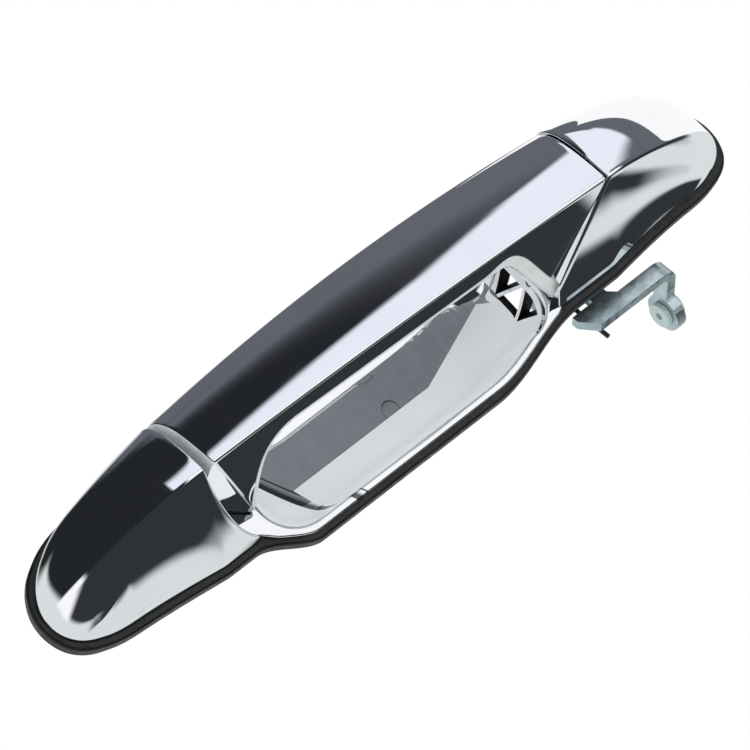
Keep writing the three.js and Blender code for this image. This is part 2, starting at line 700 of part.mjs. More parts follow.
const bushOuter = HINGE_PIN_RADIUS + HINGE_BUSH_WALL;
const knuckleBore = cylinderZ(bushOuter + FIT_GAP, HINGE_X, HINGE_OUT, -BEYOND, BEYOND);
const knuckle = cylinderZ(KNUCKLE_RADIUS, HINGE_X, HINGE_OUT, HINGE_BOTTOM_Z, hingeTopZ);
const hingeStem = box(
  HINGE_X - KNUCKLE_RADIUS,
  HINGE_X + KNUCKLE_RADIUS - STEM_INSET,
  HINGE_OUT + STEM_INSET,
  STEM_TOP_OUT,
  HINGE_BOTTOM_Z,
  hingeTopZ,
);
const behindStrap = box(-FAR, FAR, -FAR, STRAP_BACK_OUT + BACKING_THICKNESS + PAST, -BEYOND, BEYOND);
const stemSpace = strapHollow(FIT_GAP).subtract(belowGrip(BACKING_THICKNESS)).add(behindStrap);
addMesh("hinge_arm", cut(knuckle.add(hingeStem.intersect(stemSpace)), knuckleBore), zinc);

const bushBore = cylinderZ(HINGE_PIN_RADIUS + FIT_GAP / 2, HINGE_X, HINGE_OUT, -BEYOND, BEYOND);
[
  ["hinge_bush_lower", HINGE_BOTTOM_Z + FIT_GAP, HINGE_BOTTOM_Z + HINGE_LENGTH / 2 - FIT_GAP],
  ["hinge_bush_upper", HINGE_BOTTOM_Z + HINGE_LENGTH / 2 + FIT_GAP, hingeTopZ - FIT_GAP],
].forEach(([name, from, to]) => {
  const sleeve = cylinderZ(bushOuter, HINGE_X, HINGE_OUT, from, to);
  addMesh(name, sleeve.subtract(bushBore), acetal);
});

addMesh("hinge_pin", cylinderZ(HINGE_PIN_RADIUS, HINGE_X, HINGE_OUT, earBottomZ, earTopZ), steel);

// ---------------------------------------------------------------- release leg

const tilt = radians(LEVER_TILT_DEG);
const leverTip = LEVER_REACH + LEVER_THICKNESS / 2;
const footFaceY =
  LEVER_PIVOT_Y + leverTip * Math.sin(tilt) + (LEVER_THICKNESS / 2) * Math.cos(tilt) + SLIDE_GAP;
const footOut = -footFaceY;
const fingerRightX = LEVER_BARREL_X + LEVER_BARREL_LENGTH - LEVER_FINGER_INSET;
const legInside = strapHollow(FIT_GAP).subtract(belowGrip(BACKING_THICKNESS + FIT_GAP));
const legBlade = box(
  LEG_X,
  LEG_X + LEG_THICKNESS,
  footOut - LEG_FOOT_THICKNESS,
  LEG_BLADE_TOP_OUT,
  LEG_BOTTOM_Z,
  LEG_TOP_Z,
);
const legPadOut = STRAP_BACK_OUT + LEG_PAD_HEIGHT;
const legPad = box(
  LEG_X - LEG_PAD_LEFT,
  LEG_X + LEG_PAD_RIGHT,
  legPadOut,
  legPadOut + LEG_PAD_THICKNESS,
  LEG_BOTTOM_Z - LEG_PAD_BELOW,
  BEYOND,
);
const tipZ = LEVER_PIVOT_Z + leverTip * Math.cos(tilt);
const legFoot = box(
  LEG_X,
  fingerRightX,
  footOut - LEG_FOOT_THICKNESS,
  footOut,
  tipZ - LEG_FOOT_DROP,
  LEG_TOP_Z - LEG_FOOT_STEP,
);
const legSpace = legInside.add(behindStrap);
addMesh("release_leg", sum(legBlade, legPad).intersect(legSpace).add(legFoot), zinc);

// ---------------------------------------------------------------- bucket

// The mouth of the dish, seen from the front: it follows the rim below and is straight above.
function mouthOutline() {
  const low = (x) => bottomEdge(x) + RIM_LIP;
  const points = [];
  const from = DISH_LEFT_X + DISH_CORNER;
  const to = DISH_RIGHT_X - DISH_CORNER;
  const corner = (x, z, startDeg, stepZ) => {
    for (let i = 0; i <= 5; i++) {
      const angle = radians(startDeg + i * 18);
      points.push(new THREE.Vector2(x + DISH_CORNER * Math.cos(angle), z + stepZ * Math.sin(angle)));
    }
  };
  corner(from, low(from) + DISH_CORNER, 180, DISH_CORNER);
  for (let i = 1; i < 10; i++) {
    const x = THREE.MathUtils.lerp(from, to, i / 10);
    points.push(new THREE.Vector2(x, low(x)));
  }
  corner(to, low(to) + DISH_CORNER, 270, DISH_CORNER);
  corner(to, DISH_TOP_Z - DISH_CORNER, 0, DISH_CORNER);
  corner(from, DISH_TOP_Z - DISH_CORNER, 90, DISH_CORNER);
  return points;
}

// The dish as a solid: rings of the mouth, drawn in about its middle as they go deeper.
function dishSolid(grow, deeper) {
  const mouth = mouthOutline();
  const middle = new THREE.Vector2((DISH_LEFT_X + DISH_RIGHT_X) / 2, DISH_MIDDLE_Z);
  const depth = RIM_OUT - DISH_FLOOR_OUT;
  const rings = DISH_STEPS.map(([t, scale]) =>
    mouth.map((point) => {
      const dx = point.x - middle.x;
      const dz = point.y - middle.y;
      const shrinkX = 1 - (1 - scale) * DISH_SHRINK_X;
      const growX = Math.sign(dx) * grow * Math.min(1, Math.abs(dx) / DISH_WALL_EASE_X);
      const growZ = Math.sign(dz) * grow * Math.min(1, Math.abs(dz) / DISH_WALL_EASE_Z);
      const x = middle.x + dx * shrinkX + growX;
      const z = middle.y + dz * scale + growZ;
      return new THREE.Vector3(x, -(RIM_OUT - t * depth - deeper), z);
    }),
  );
  return loft(rings, (point) => new THREE.Vector2(point.x, point.z));
}

const rimPlate = plateXZ(planOutline(0), SEAT_OUT, RIM_OUT);
const dishOutside = dishSolid(DISH_WALL, DISH_WALL).intersect(box(-FAR, FAR, -FAR, RIM_OUT, -BEYOND, BEYOND));
const aboveSeat = box(-FAR, FAR, SEAT_OUT - FIT_GAP, FAR, -BEYOND, BEYOND);
const capsAboveSeat = capRegion(-1, -2 * FIT_GAP).add(capRegion(1, -2 * FIT_GAP)).intersect(aboveSeat);
const postBackOut = CHASSIS_BACK_OUT + POST_RECESS;
const bucketPosts = BUCKET_SCREW_PLACES.map(({ x, z }) =>
  cylinderY(SCREW_RADIUS + POST_WALL, x, z, postBackOut, RIM_OUT - POST_BELOW_RIM, 14),
);
const bucketBores = BUCKET_SCREW_PLACES.map(({ x, z }) =>
  cylinderY(SCREW_RADIUS + FIT_GAP / 2, x, z, -FAR, RIM_OUT - POST_BORE_BELOW_RIM, 12),
);

// Triangular windows between the struts of a truss in the dish's release end.
function endWindows() {
  const pitch = WINDOW_WIDTH / 2 + WINDOW_STRUT;
  return Array.from({ length: WINDOW_COUNT }, (_, i) => {
    const z = WINDOW_TOP_Z - WINDOW_WIDTH / 2 - i * pitch;
    const [base, apex] = i % 2 ? [WINDOW_BACK_OUT, WINDOW_FRONT_OUT] : [WINDOW_FRONT_OUT, WINDOW_BACK_OUT];
    const outline = [[base, z - WINDOW_WIDTH / 2], [base, z + WINDOW_WIDTH / 2], [apex, z]];
    return prismOutZ(outline, DISH_RIGHT_X - 2 * DISH_CORNER, DISH_RIGHT_X + DISH_WALL + PAST);
  });
}

const legSlot = box(
  LEG_X - LEG_SLOT_ROOM,
  LEG_X + LEG_THICKNESS + legSweep,
  -FAR,
  FAR,
  LEG_BOTTOM_Z - LEG_SLOT_ROOM,
  LEG_TOP_Z + LEG_SLOT_ROOM,
);
const bucketWhole = sum(rimPlate, dishOutside, ...bucketPosts);
const bucketCuts = [capsAboveSeat, dishSolid(0, 0), ...bucketBores, ...endWindows(), hingeOpening, legSlot];
addMesh("bucket", cut(bucketWhole, ...bucketCuts), chrome);

// ---------------------------------------------------------------- gasket

const dishEnvelope = dishSolid(DISH_WALL + SLIDE_GAP, DISH_WALL + SLIDE_GAP);
const gasketHole = planOutline(GASKET_LIP - GASKET_WIDTH);
const gasket = plateXZ(planOutline(GASKET_LIP), 0, GASKET_THICKNESS, [gasketHole]);
addMesh("gasket", gasket.subtract(dishEnvelope), rubber);

// ---------------------------------------------------------------- chassis

const deck = plateXZ(planOutline(-CHASSIS_INSET), CHASSIS_BACK_OUT, CHASSIS_FRONT_OUT);
const underDish = box(
  DISH_LEFT_X - UNDER_DISH_LEFT,
  DISH_RIGHT_X + UNDER_DISH_RIGHT,
  -FAR,
  FAR,
  -BEYOND,
  UNDER_DISH_TOP_Z,
);
const railTopZ = BODY_HALF_HEIGHT - CHASSIS_INSET;
const rail = box(
  DISH_LEFT_X,
  DISH_RIGHT_X + RAIL_PAST_DISH,
  CHASSIS_FRONT_OUT - RAIL_DEPTH,
  CHASSIS_FRONT_OUT,
  railTopZ - RAIL_HEIGHT,
  railTopZ,
);
const hingeEars = [earBottomZ, earTopZ - EAR_THICKNESS].map((from) => {
  const to = from + EAR_THICKNESS;
  const radius = KNUCKLE_RADIUS - EAR_INSET;
  const root = box(HINGE_X - radius, HINGE_X + radius, CHASSIS_BACK_OUT, HINGE_OUT, from, to);
  return root.add(cylinderZ(radius, HINGE_X, HINGE_OUT, from, to));
});
const leverEars = [LEVER_EAR_LEFT_X, LEVER_EAR_RIGHT_X].map((x) => {
  const root = box(
    x,
    x + EAR_THICKNESS,
    -LEVER_PIVOT_Y,
    CHASSIS_BACK_OUT + PAST,
    LEVER_PIVOT_Z - LEVER_EAR_RADIUS,
    LEVER_PIVOT_Z + LEVER_EAR_RADIUS,
  );
  return root.add(cylinderX(LEVER_EAR_RADIUS, LEVER_PIVOT_Y, LEVER_PIVOT_Z, x, x + EAR_THICKNESS));
});
const knuckleRoom = KNUCKLE_RADIUS + SLIDE_GAP;
const knuckleFromZ = HINGE_BOTTOM_Z - FIT_GAP;
const knuckleToZ = hingeTopZ + FIT_GAP;
const leverWindow = box(
  LEVER_EAR_LEFT_X + EAR_THICKNESS + LEVER_WINDOW_INSET,
  LEVER_EAR_RIGHT_X,
  -LEVER_WINDOW_DEPTH,
  FAR,
  LEVER_WINDOW_BOTTOM_Z,
  LEG_TOP_Z + LEVER_WINDOW_ABOVE_LEG,
);
const chassisCuts = [
  dishEnvelope,
  underDish,
  cylinderZ(knuckleRoom, HINGE_X, HINGE_OUT, knuckleFromZ, knuckleToZ),
  box(HINGE_X - knuckleRoom, HINGE_X + knuckleRoom, -FAR, HINGE_OUT, knuckleFromZ, knuckleToZ),
  bushBore,
  leverWindow,
  cylinderX(LEVER_PIN_RADIUS + FIT_GAP / 2, LEVER_PIVOT_Y, LEVER_PIVOT_Z, 0, FAR),
  ...STUD_PLACES.flatMap(({ x, z }) => [
    cylinderY(STUD_RADIUS + FIT_GAP, x, z, -FAR, FAR),
    cylinderY(STUD_HEAD_RADIUS + FIT_GAP, x, z, CHASSIS_FRONT_OUT - STUD_HEAD_THICKNESS - FIT_GAP, FAR),
  ]),
  ...[...capScrewPlaces(-1), ...capScrewPlaces(1), ...BUCKET_SCREW_PLACES].map(({ x, z }) =>
    cylinderY(SCREW_RADIUS + FIT_GAP, x, z, -FAR, FAR, 12),
  ),
  ...BUCKET_SCREW_PLACES.map(({ x, z }) =>
    cylinderY(SCREW_RADIUS + POST_WALL + FIT_GAP, x, z, postBackOut - FIT_GAP, FAR, 14),
  ),
];
const chassisWhole = sum(deck.subtract(underDish), rail, ...hingeEars, ...leverEars);
addMesh("chassis", cut(chassisWhole, ...chassisCuts), blackPlastic);

// ---------------------------------------------------------------- lever, its pin, clip and bushing

// The lever is drawn upright about its pivot and then tilted. Its X is the handle's X.
const barrelRightX = LEVER_BARREL_X + LEVER_BARREL_LENGTH;
const armBottom = LEVER_ARM_TOP - LEVER_ARM_WIDTH;
const half = LEVER_THICKNESS / 2;
const leverPlate = plateXZ(
  [
    [LEVER_BARREL_X + LEVER_PLATE_INSET, 0],
    [LEVER_BARREL_X + LEVER_PLATE_INSET, LEVER_PLATE_TOP],
    [LEVER_PLATE_LEFT_X, LEVER_PLATE_TOP],
    [LEVER_PLATE_LEFT_X, armBottom + LEVER_PLATE_CHAMFER_Z],
    [LEVER_PLATE_LEFT_X + LEVER_PLATE_CHAMFER_X, armBottom],
    [LEVER_BEND_X - LEVER_BEND_RADIUS, armBottom],
    [LEVER_BEND_X - LEVER_BEND_RADIUS, LEVER_ARM_TOP],
    [barrelRightX + LEVER_PLATE_SHOULDER, LEVER_ARM_TOP],
    [barrelRightX - LEVER_PLATE_INSET, LEVER_PLATE_TOP],
    [barrelRightX - LEVER_PLATE_INSET, 0],
  ].map(([x, z]) => new THREE.Vector2(x, z)),
  -half,
  half,
);
const finger = plateXZ(
  [
    [fingerRightX - LEVER_FINGER_WIDTH, 0],
    [fingerRightX, 0],
    [fingerRightX, LEVER_REACH],
    [fingerRightX - LEVER_FINGER_CHAMFER, leverTip],
    [fingerRightX - LEVER_FINGER_WIDTH + LEVER_FINGER_CHAMFER, leverTip],
    [fingerRightX - LEVER_FINGER_WIDTH, LEVER_REACH],
  ].map(([x, z]) => new THREE.Vector2(x, z)),
  -half,
  half,
);

// The arm's bend into the door and the run to the pad, seen from above.
function armBend() {
  const points = [];
  const centreX = LEVER_BEND_X - LEVER_BEND_RADIUS;
  const centreOut = half - LEVER_BEND_RADIUS;
  const arc = (radius, from, to) => {
    for (let i = 0; i <= 5; i++) {
      const angle = THREE.MathUtils.lerp(from, to, i / 5);
      const x = centreX + radius * Math.sin(angle);
      points.push(new THREE.Vector2(x, centreOut + radius * Math.cos(angle)));
    }
  };
  arc(LEVER_BEND_RADIUS, 0, Math.PI / 2);
  points.push(new THREE.Vector2(LEVER_BEND_X, -PAD_REACH));
  points.push(new THREE.Vector2(LEVER_BEND_X - LEVER_THICKNESS, -PAD_REACH));
  arc(LEVER_BEND_RADIUS - LEVER_THICKNESS, Math.PI / 2, 0);
  return prismXOut(points, armBottom, LEVER_ARM_TOP);
}

const padX = LEVER_BEND_X - LEVER_THICKNESS;
const pad = cylinderX(PAD_RADIUS, PAD_REACH, PAD_DROP, padX, LEVER_BEND_X, 28);
const barrel = cylinderX(LEVER_BARREL_RADIUS, 0, 0, LEVER_BARREL_X, barrelRightX);
const lever = cut(
  sum(leverPlate, finger, armBend(), pad, barrel),
  cylinderX(LEVER_PIN_RADIUS + FIT_GAP / 2, 0, 0, 0, FAR),
  cylinderX(ROD_HOLE_RADIUS, PAD_REACH, PAD_DROP, 0, FAR),
);
const onLeverPivot = (mesh) => {
  mesh.rotation.x = -tilt;
  mesh.position.set(0, LEVER_PIVOT_Y, LEVER_PIVOT_Z);
};
addMesh("release_lever", lever, zinc, onLeverPivot);

const bushingLeftX = padX - BUSHING_FLANGE_THICKNESS;
const bushingRightX = LEVER_BEND_X + BUSHING_FLANGE_THICKNESS;
const bushingRadius = ROD_HOLE_RADIUS - FIT_GAP / 2;
const bushingBody = cylinderX(bushingRadius, PAD_REACH, PAD_DROP, bushingLeftX, bushingRightX);
const bushingFlanges = [
  [bushingLeftX, padX - FIT_GAP / 2],
  [LEVER_BEND_X + FIT_GAP / 2, bushingRightX],
].map(([from, to]) => cylinderX(ROD_HOLE_RADIUS + BUSHING_FLANGE_WIDTH, PAD_REACH, PAD_DROP, from, to));
const rodBore = cylinderX(ROD_RADIUS, PAD_REACH, PAD_DROP, 0, FAR, 16);
addMesh("rod_bushing", cut(sum(bushingBody, ...bushingFlanges), rodBore), acetal, onLeverPivot);

// Pieces that lie about the lever's pivot axis.
function aboutPivot(radius, fromX, toX) {
  return cylinderX(radius, LEVER_PIVOT_Y, LEVER_PIVOT_Z, fromX, toX);
}

const pinLeftX = LEVER_EAR_LEFT_X - PIN_HEAD_THICKNESS;
const pinRightX = LEVER_EAR_RIGHT_X + EAR_THICKNESS + PIN_END;
const clipX = LEVER_EAR_RIGHT_X + EAR_THICKNESS + CLIP_SET_OFF;
const grooveRadius = LEVER_PIN_RADIUS - CLIP_GROOVE_DEPTH;
const pinHead = aboutPivot(LEVER_PIN_RADIUS + PIN_HEAD_WIDTH, pinLeftX, LEVER_EAR_LEFT_X - FIT_GAP);
const pinWhole = aboutPivot(LEVER_PIN_RADIUS, pinLeftX, pinRightX).add(pinHead);
const grooveOutside = aboutPivot(FAR, clipX - CLIP_SLACK, clipX + CLIP_THICKNESS + CLIP_SLACK);
addMesh("lever_pin", pinWhole.subtract(grooveOutside.subtract(aboutPivot(grooveRadius, 0, FAR))), steel);

const clipMouth = box(
  0,
  FAR,
  -LEVER_PIVOT_Y - 2 * LEVER_EAR_RADIUS,
  -LEVER_PIVOT_Y,
  LEVER_PIVOT_Z - CLIP_SLOT_HALF_WIDTH,
  LEVER_PIVOT_Z + CLIP_SLOT_HALF_WIDTH,
);
const clipDisc = aboutPivot(LEVER_PIN_RADIUS + CLIP_WIDTH, clipX, clipX + CLIP_THICKNESS);
addMesh("lever_clip", cut(clipDisc, aboutPivot(grooveRadius + CLIP_SLACK, 0, FAR), clipMouth), darkSteel);

// ---------------------------------------------------------------- return spring

const springLeftX = LEVER_EAR_LEFT_X + EAR_THICKNESS + SPRING_SIDE_GAP + SPRING_WIRE_RADIUS;
const springRightX = LEVER_BARREL_X - SPRING_SIDE_GAP - SPRING_WIRE_RADIUS;
const springPitch = (springRightX - springLeftX) / SPRING_TURNS;
const stepsPerTurn = 12;

// The wire's centre line: a hook at the left ear, the coil about the pivot, and a long leg down the lever.
function springLine() {
  const hookY = LEVER_PIVOT_Y - SPRING_COIL_RADIUS;
  const hookTopZ = LEVER_PIVOT_Z + SPRING_HOOK_TOP;
  const points = [
    new THREE.Vector3(springLeftX, hookY, hookTopZ),
    new THREE.Vector3(springLeftX, hookY, hookTopZ - SPRING_HOOK_STEP),
  ];
  for (let i = 0; i <= SPRING_TURNS * stepsPerTurn; i++) {
    const turned = (i / stepsPerTurn) * 2 * Math.PI;
    const x = springLeftX + (springPitch * i) / stepsPerTurn;
    const y = LEVER_PIVOT_Y - SPRING_COIL_RADIUS * Math.cos(turned);
    points.push(new THREE.Vector3(x, y, LEVER_PIVOT_Z - SPRING_COIL_RADIUS * Math.sin(turned)));
  }
  const from = points[points.length - 1];
  const lean = Math.sin(tilt) * SPRING_LEG_LEAN;
  for (const share of [0.35, 0.7, 1]) {
    const run = share * SPRING_LEG_LENGTH;
    points.push(new THREE.Vector3(from.x, from.y - run * lean, from.z - run));
  }
  return new THREE.CatmullRomCurve3(points);
}

const wireSection = new THREE.Shape();
wireSection.absarc(0, 0, SPRING_WIRE_RADIUS, 0, 2 * Math.PI);
const springGeometry = new THREE.ExtrudeGeometry(wireSection, {
  steps: 52,
  curveSegments: 4,
  extrudePath: springLine(),
});
addMesh("return_spring", toSolid(springGeometry), darkSteel);

// ---------------------------------------------------------------- fasteners and bumpers

STUD_PLACES.forEach(({ x, z }, i) => {
  const headBack = CHASSIS_FRONT_OUT - STUD_HEAD_THICKNESS;
  const head = cylinderY(STUD_HEAD_RADIUS, x, z, headBack, CHASSIS_FRONT_OUT - FIT_GAP / 2);
  const shank = cylinderY(STUD_RADIUS, x, z, -STUD_LENGTH, headBack + STUD_HEAD_THICKNESS / 2);
  addMesh(`mounting_stud_${["left", "right"][i]}`, head.add(shank), steel);
});

function backScrew(name, { x, z }, tipOut) {
  const headFront = CHASSIS_BACK_OUT - FIT_GAP / 2;
  const headBack = headFront - SCREW_HEAD_THICKNESS;
  const head = cylinderY(SCREW_HEAD_RADIUS, x, z, headBack, headFront, 18);
  const drive = cylinderY(DRIVE_RADIUS, x, z, headBack - DRIVE_DEPTH, headBack + DRIVE_DEPTH, 6);
  const shank = cylinderY(SCREW_RADIUS, x, z, headBack + DRIVE_DEPTH, tipOut, 12);
  addMesh(name, head.subtract(drive).add(shank), darkSteel);
}

[...capScrewPlaces(-1), ...capScrewPlaces(1)].forEach((place, i) =>
  backScrew(`cap_screw_${i + 1}`, place, SEAT_OUT + SCREW_GRIP),
);
BUCKET_SCREW_PLACES.forEach((place, i) => backScrew(`bucket_screw_${i + 1}`, place, SEAT_OUT));

[["upper", BUMPER_UPPER_Z], ["lower", BUMPER_LOWER_Z]].forEach(([level, z]) => {
  const block = cylinderY(BUMPER_RADIUS, BUMPER_X, z, RIM_OUT + FIT_GAP, STRAP_BACK_OUT - FIT_GAP, 18);
  addMesh(`bumper_${level}`, block, rubber);
});

export default handle;
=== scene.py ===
import json
import math

import bmesh
import bpy
import numpy as np
from mathutils import Matrix, Vector


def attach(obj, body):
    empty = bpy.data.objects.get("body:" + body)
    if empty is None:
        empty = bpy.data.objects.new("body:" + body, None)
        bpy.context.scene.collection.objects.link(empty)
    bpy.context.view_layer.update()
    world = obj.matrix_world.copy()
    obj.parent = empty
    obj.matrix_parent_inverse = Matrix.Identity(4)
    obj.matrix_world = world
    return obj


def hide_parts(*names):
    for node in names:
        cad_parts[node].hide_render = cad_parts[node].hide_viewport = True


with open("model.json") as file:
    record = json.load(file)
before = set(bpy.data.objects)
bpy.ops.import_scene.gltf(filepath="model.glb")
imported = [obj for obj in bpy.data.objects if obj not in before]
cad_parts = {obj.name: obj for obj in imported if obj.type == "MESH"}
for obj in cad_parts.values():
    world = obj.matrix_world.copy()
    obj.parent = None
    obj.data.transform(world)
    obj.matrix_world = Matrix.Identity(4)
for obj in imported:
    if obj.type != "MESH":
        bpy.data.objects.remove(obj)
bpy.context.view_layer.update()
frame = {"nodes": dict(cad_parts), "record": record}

MM = 0.001

# ---------------------------------------- the part's sizes, in millimetres, as the CAD has them

BODY_LEFT_LENGTH = 144.3
BODY_RIGHT_LENGTH = 146.6
BODY_HALF_HEIGHT = 23
NOSE_HALF_HEIGHT = 17.3
NOSE_LENGTH = 24.3
NOSE_STRAIGHT_LENGTH = 10.3
NOSE_FULLNESS = 2.6
NOSE_DROP_LEFT = 3
NOSE_DROP_RIGHT = 5.5
BULGE_DROP = 9
BULGE_LEFT = (-75, -54)
BULGE_RIGHT = (24, 70)
CREST_OUT_MIDDLE = 46.5
CREST_OUT_SEAM = 43.3
CREST_Z_MIDDLE = -4.8
CREST_SLOPE = -0.022
CREST_FALL_START = 1.6
CREST_FALL_END = 0.7
SEAM_LEFT_X = -86.5
SEAM_RIGHT_X = 87
SEAM_GAP = 0.6
STRAP_TIP_LEFT_X = -68
STRAP_TIP_RIGHT_X = 61
CAP_FOOT_LEFT = (-70.5, -22.6)
CAP_CURVE_LEFT = (-83.5, -18.9)
STRAP_BACK_OUT = 7
STRAP_CROWN = 4
LOWER_FACE_SLOPES = (0.325, 0.29, 0.355)
GRIP_OUT = 34.3
GRIP_SLANT = 0.27
GRIP_LEFT_X = -49
GRIP_RIGHT_X = 37
GRIP_LEFT_CORNER = 14
GRIP_RIGHT_CORNER = 9
CAP_BOW_SEAM = 0.12
CAP_BOW_NOSE = 0.6
GASKET_THICKNESS = 4
GASKET_LIP = 2.4
GASKET_WIDTH = 3.8
SEAT_OUT = 4.3
RIM_OUT = 5.7
RIM_LIP = 2.4
DISH_LEFT_X = -66
DISH_RIGHT_X = 61
DISH_TOP_Z = 14.5
DISH_FLOOR_OUT = -15
DISH_CORNER = 14
DISH_MIDDLE_Z = -7
WINDOW_WIDTH = 9
WINDOW_STRUT = 1.3
WINDOW_COUNT = 3
WINDOW_TOP_Z = 1.5
WINDOW_FRONT_OUT = 1.5
WINDOW_BACK_OUT = -7.5
HINGE_X = -75
HINGE_OUT = 8
STRAP_TRAVEL_DEG = 5

# ---------------------------------------- sizes that only the looks have, in millimetres

# The body's cross-section: the shoulder's control points, as shares of its depth and of its rise, and the
# least that the crest stands out and away from the edges.
SHOULDER_DEPTHS = (0.93, 0.84, 0.52)
SHOULDER_RISE = 0.62
LEAST_CREST = 0.1
LEAST_HEIGHT = 0.4

CREST_FILLET = 0.9
CREST_FILLET_SHARE = 0.3
CREST_FILLET_CLEAR = 1.05
EDGE_FILLET = 0.5
END_WALL_DROP = 0.8
CAP_WALL_INSET = 0.8
STRAP_WALL_INSET = 0.7

# The grip's rolled lip, and the pale painted highlight along it, which widens at the release end.
GRIP_FILLET = 2.6
GRIP_FILLET_SHARE = 0.25
GRIP_FILLET_CLEAR = 1.03
GRIP_INNER_DEPTHS = (7.0, 5.5, 4.2)
LIP_WIDTH = 2.6
LIP_WIDTH_RIGHT = 5.2
LIP_WIDENS = (GRIP_RIGHT_X - 6, GRIP_RIGHT_X + 8)
LIP_SOFT = 0.25
LIP_HAZE = 0.2

# The strap's left end leans over this share of its length, and is unpolished past STRAP_END_X.
LEAN_SHARE = 0.03
STRAP_END_X = -76
STRAP_END_FACING = -0.8

# The dish's wall narrows by less along X than in height, and its floor closes to a point.
DISH_NARROWING = 0.62
DISH_FLOOR_SCALE = 0.36
DISH_SMOOTHING = 3
DISH_SCALE_WEIGHT = 25
RIM_ROUND = 0.7
RIM_FOOT_INSET = 0.6
RIM_FOOT_SINK = 0.3
RIM_EDGE = 0.8
RIM_UNDER_CAP = 2.6
RIM_UNDER_LEFT = (-66, -74)
RIM_UNDER_RIGHT = (60, 66)
RIM_END_X = 100

WINDOW_FROM_X = 33
WINDOW_MARGIN = 3
WINDOW_TUNNELS = (6, 2.5, 6)
# Material slot of the windows' black turned-back walls, painted shade inside the windows.
WINDOW_SHADE_INDEX = 1

GASKET_ROUND = 1.3
GASKET_FOOT_INSET = 0.2
GASKET_FOOT_SINK = 0.6

# A pale painted reflection, which also glows faintly, lies on the dish's lower wall below a line that rises
# and then falls towards the release end. It lies on the left end too, up to a leaning line with a wide and a
# fine dark painted reflection beside it.
PALE_REFLECTION_TOP_Z = -12.3
PALE_REFLECTION_RISE_FROM_X = 17
PALE_REFLECTION_RISE = 0.37
PALE_REFLECTION_FALL_FROM_X = 49
PALE_REFLECTION_FALL = 1.4
PALE_REFLECTION_LEFT_X = -47
PALE_REFLECTION_LEFT_LEAN = 0.3
PALE_REFLECTION_FROM_OUT = 3.6
PALE_REFLECTION_OUT_SOFT = 0.4
PALE_REFLECTION_END_X = -55
PALE_REFLECTION_END_LEAN = 0.53
PAINTED_GLOW = 0.22
PALE_REFLECTION_HAZE = 0.25
EDGE_SOFT = 0.15
WIDE_DARK_REFLECTION = (0, 2.6)
WIDE_DARK_REFLECTION_SOFT = 0.8
FINE_DARK_REFLECTION = (4.2, 4.9)

BEVEL_WIDTH = 0.25
BEVEL_ANGLE = 35

# How many points and rows the dense surfaces have.
LOW_COUNT = 34
FILLET_COUNT = 7
FRONT_COUNT = 70
LIP_COUNT = 12
LINE_STEPS = 40
CAP_STEPS = 84
CAP_SAMPLES = 160
CAP_EDGE_SAMPLES = 60
STRAP_STEPS = 220
RING_COUNT = 360


# ---------------------------------------- the body's shape

def smooth(a, b, x):
    t = min(max((x - a) / (b - a), 0.0), 1.0)
    return t * t * (3 - 2 * t)


def lerp(a, b, t):
    return a + (b - a) * t


def body_end(x):
    return BODY_LEFT_LENGTH if x < 0 else BODY_RIGHT_LENGTH


def seam_at(x):
    return -SEAM_LEFT_X if x < 0 else SEAM_RIGHT_X


def along_cap(x):
    return min(max((abs(x) - seam_at(x)) / (body_end(x) - seam_at(x)), 0.0), 1.0)


def half_height(x, grow=0.0):
    u = abs(x)
    taper = (u - seam_at(x)) / (body_end(x) - NOSE_STRAIGHT_LENGTH - seam_at(x))
    height = lerp(BODY_HALF_HEIGHT, NOSE_HALF_HEIGHT, min(max(taper, 0.0), 1.0)) + grow
    t = min(max((u - body_end(x) + NOSE_LENGTH) / (NOSE_LENGTH + grow), 0.0), 1.0)
    return height * math.sqrt(max(1 - t ** NOSE_FULLNESS, 0.0))


def bulge(x):
    return BULGE_DROP * smooth(*BULGE_LEFT, x) * (1 - smooth(*BULGE_RIGHT, x))


def middle_z(x):
    return -(NOSE_DROP_LEFT if x < 0 else NOSE_DROP_RIGHT) * along_cap(x) ** 3


def top_edge(x, grow=0.0):
    return middle_z(x) + half_height(x, grow)


def bottom_edge(x, grow=0.0):
    return middle_z(x) - half_height(x, grow) - bulge(x)


def crest_out(x):
    t = along_cap(x)
    if t == 0:
        return CREST_OUT_MIDDLE + (CREST_OUT_SEAM - CREST_OUT_MIDDLE) * (x / seam_at(x)) ** 2
    return SEAT_OUT + (CREST_OUT_SEAM - SEAT_OUT) * (1 - t ** CREST_FALL_START) ** CREST_FALL_END


def crest_z(x):
    return CREST_Z_MIDDLE + CREST_SLOPE * x


def lower_face_z(x, out):
    left, middle, right = LOWER_FACE_SLOPES
    end, tip = (left, STRAP_TIP_LEFT_X) if x < 0 else (right, STRAP_TIP_RIGHT_X)
    slope = middle + (end - middle) * (x / tip) ** 2
    return crest_z(x) - slope * (crest_out(x) - out)


def bezier(points, t):
    level = [np.array(p, float) for p in points]
    while len(level) > 1:
        level = [lerp(a, b, t) for a, b in zip(level, level[1:])]
    return level[0]


def rounded(before, corner, after, reach, count=FILLET_COUNT):
    """Points round a corner, from reach before it to reach after it, along two unit directions."""
    corner = np.array(corner, float)
    ends = (corner + before * reach, corner, corner + after * reach)
    return [bezier(ends, i / (count - 1)) for i in range(count)]


def unit(v):
    v = np.array(v, float)
    n = np.linalg.norm(v)
    return v / n if n > 1e-9 else v * 0


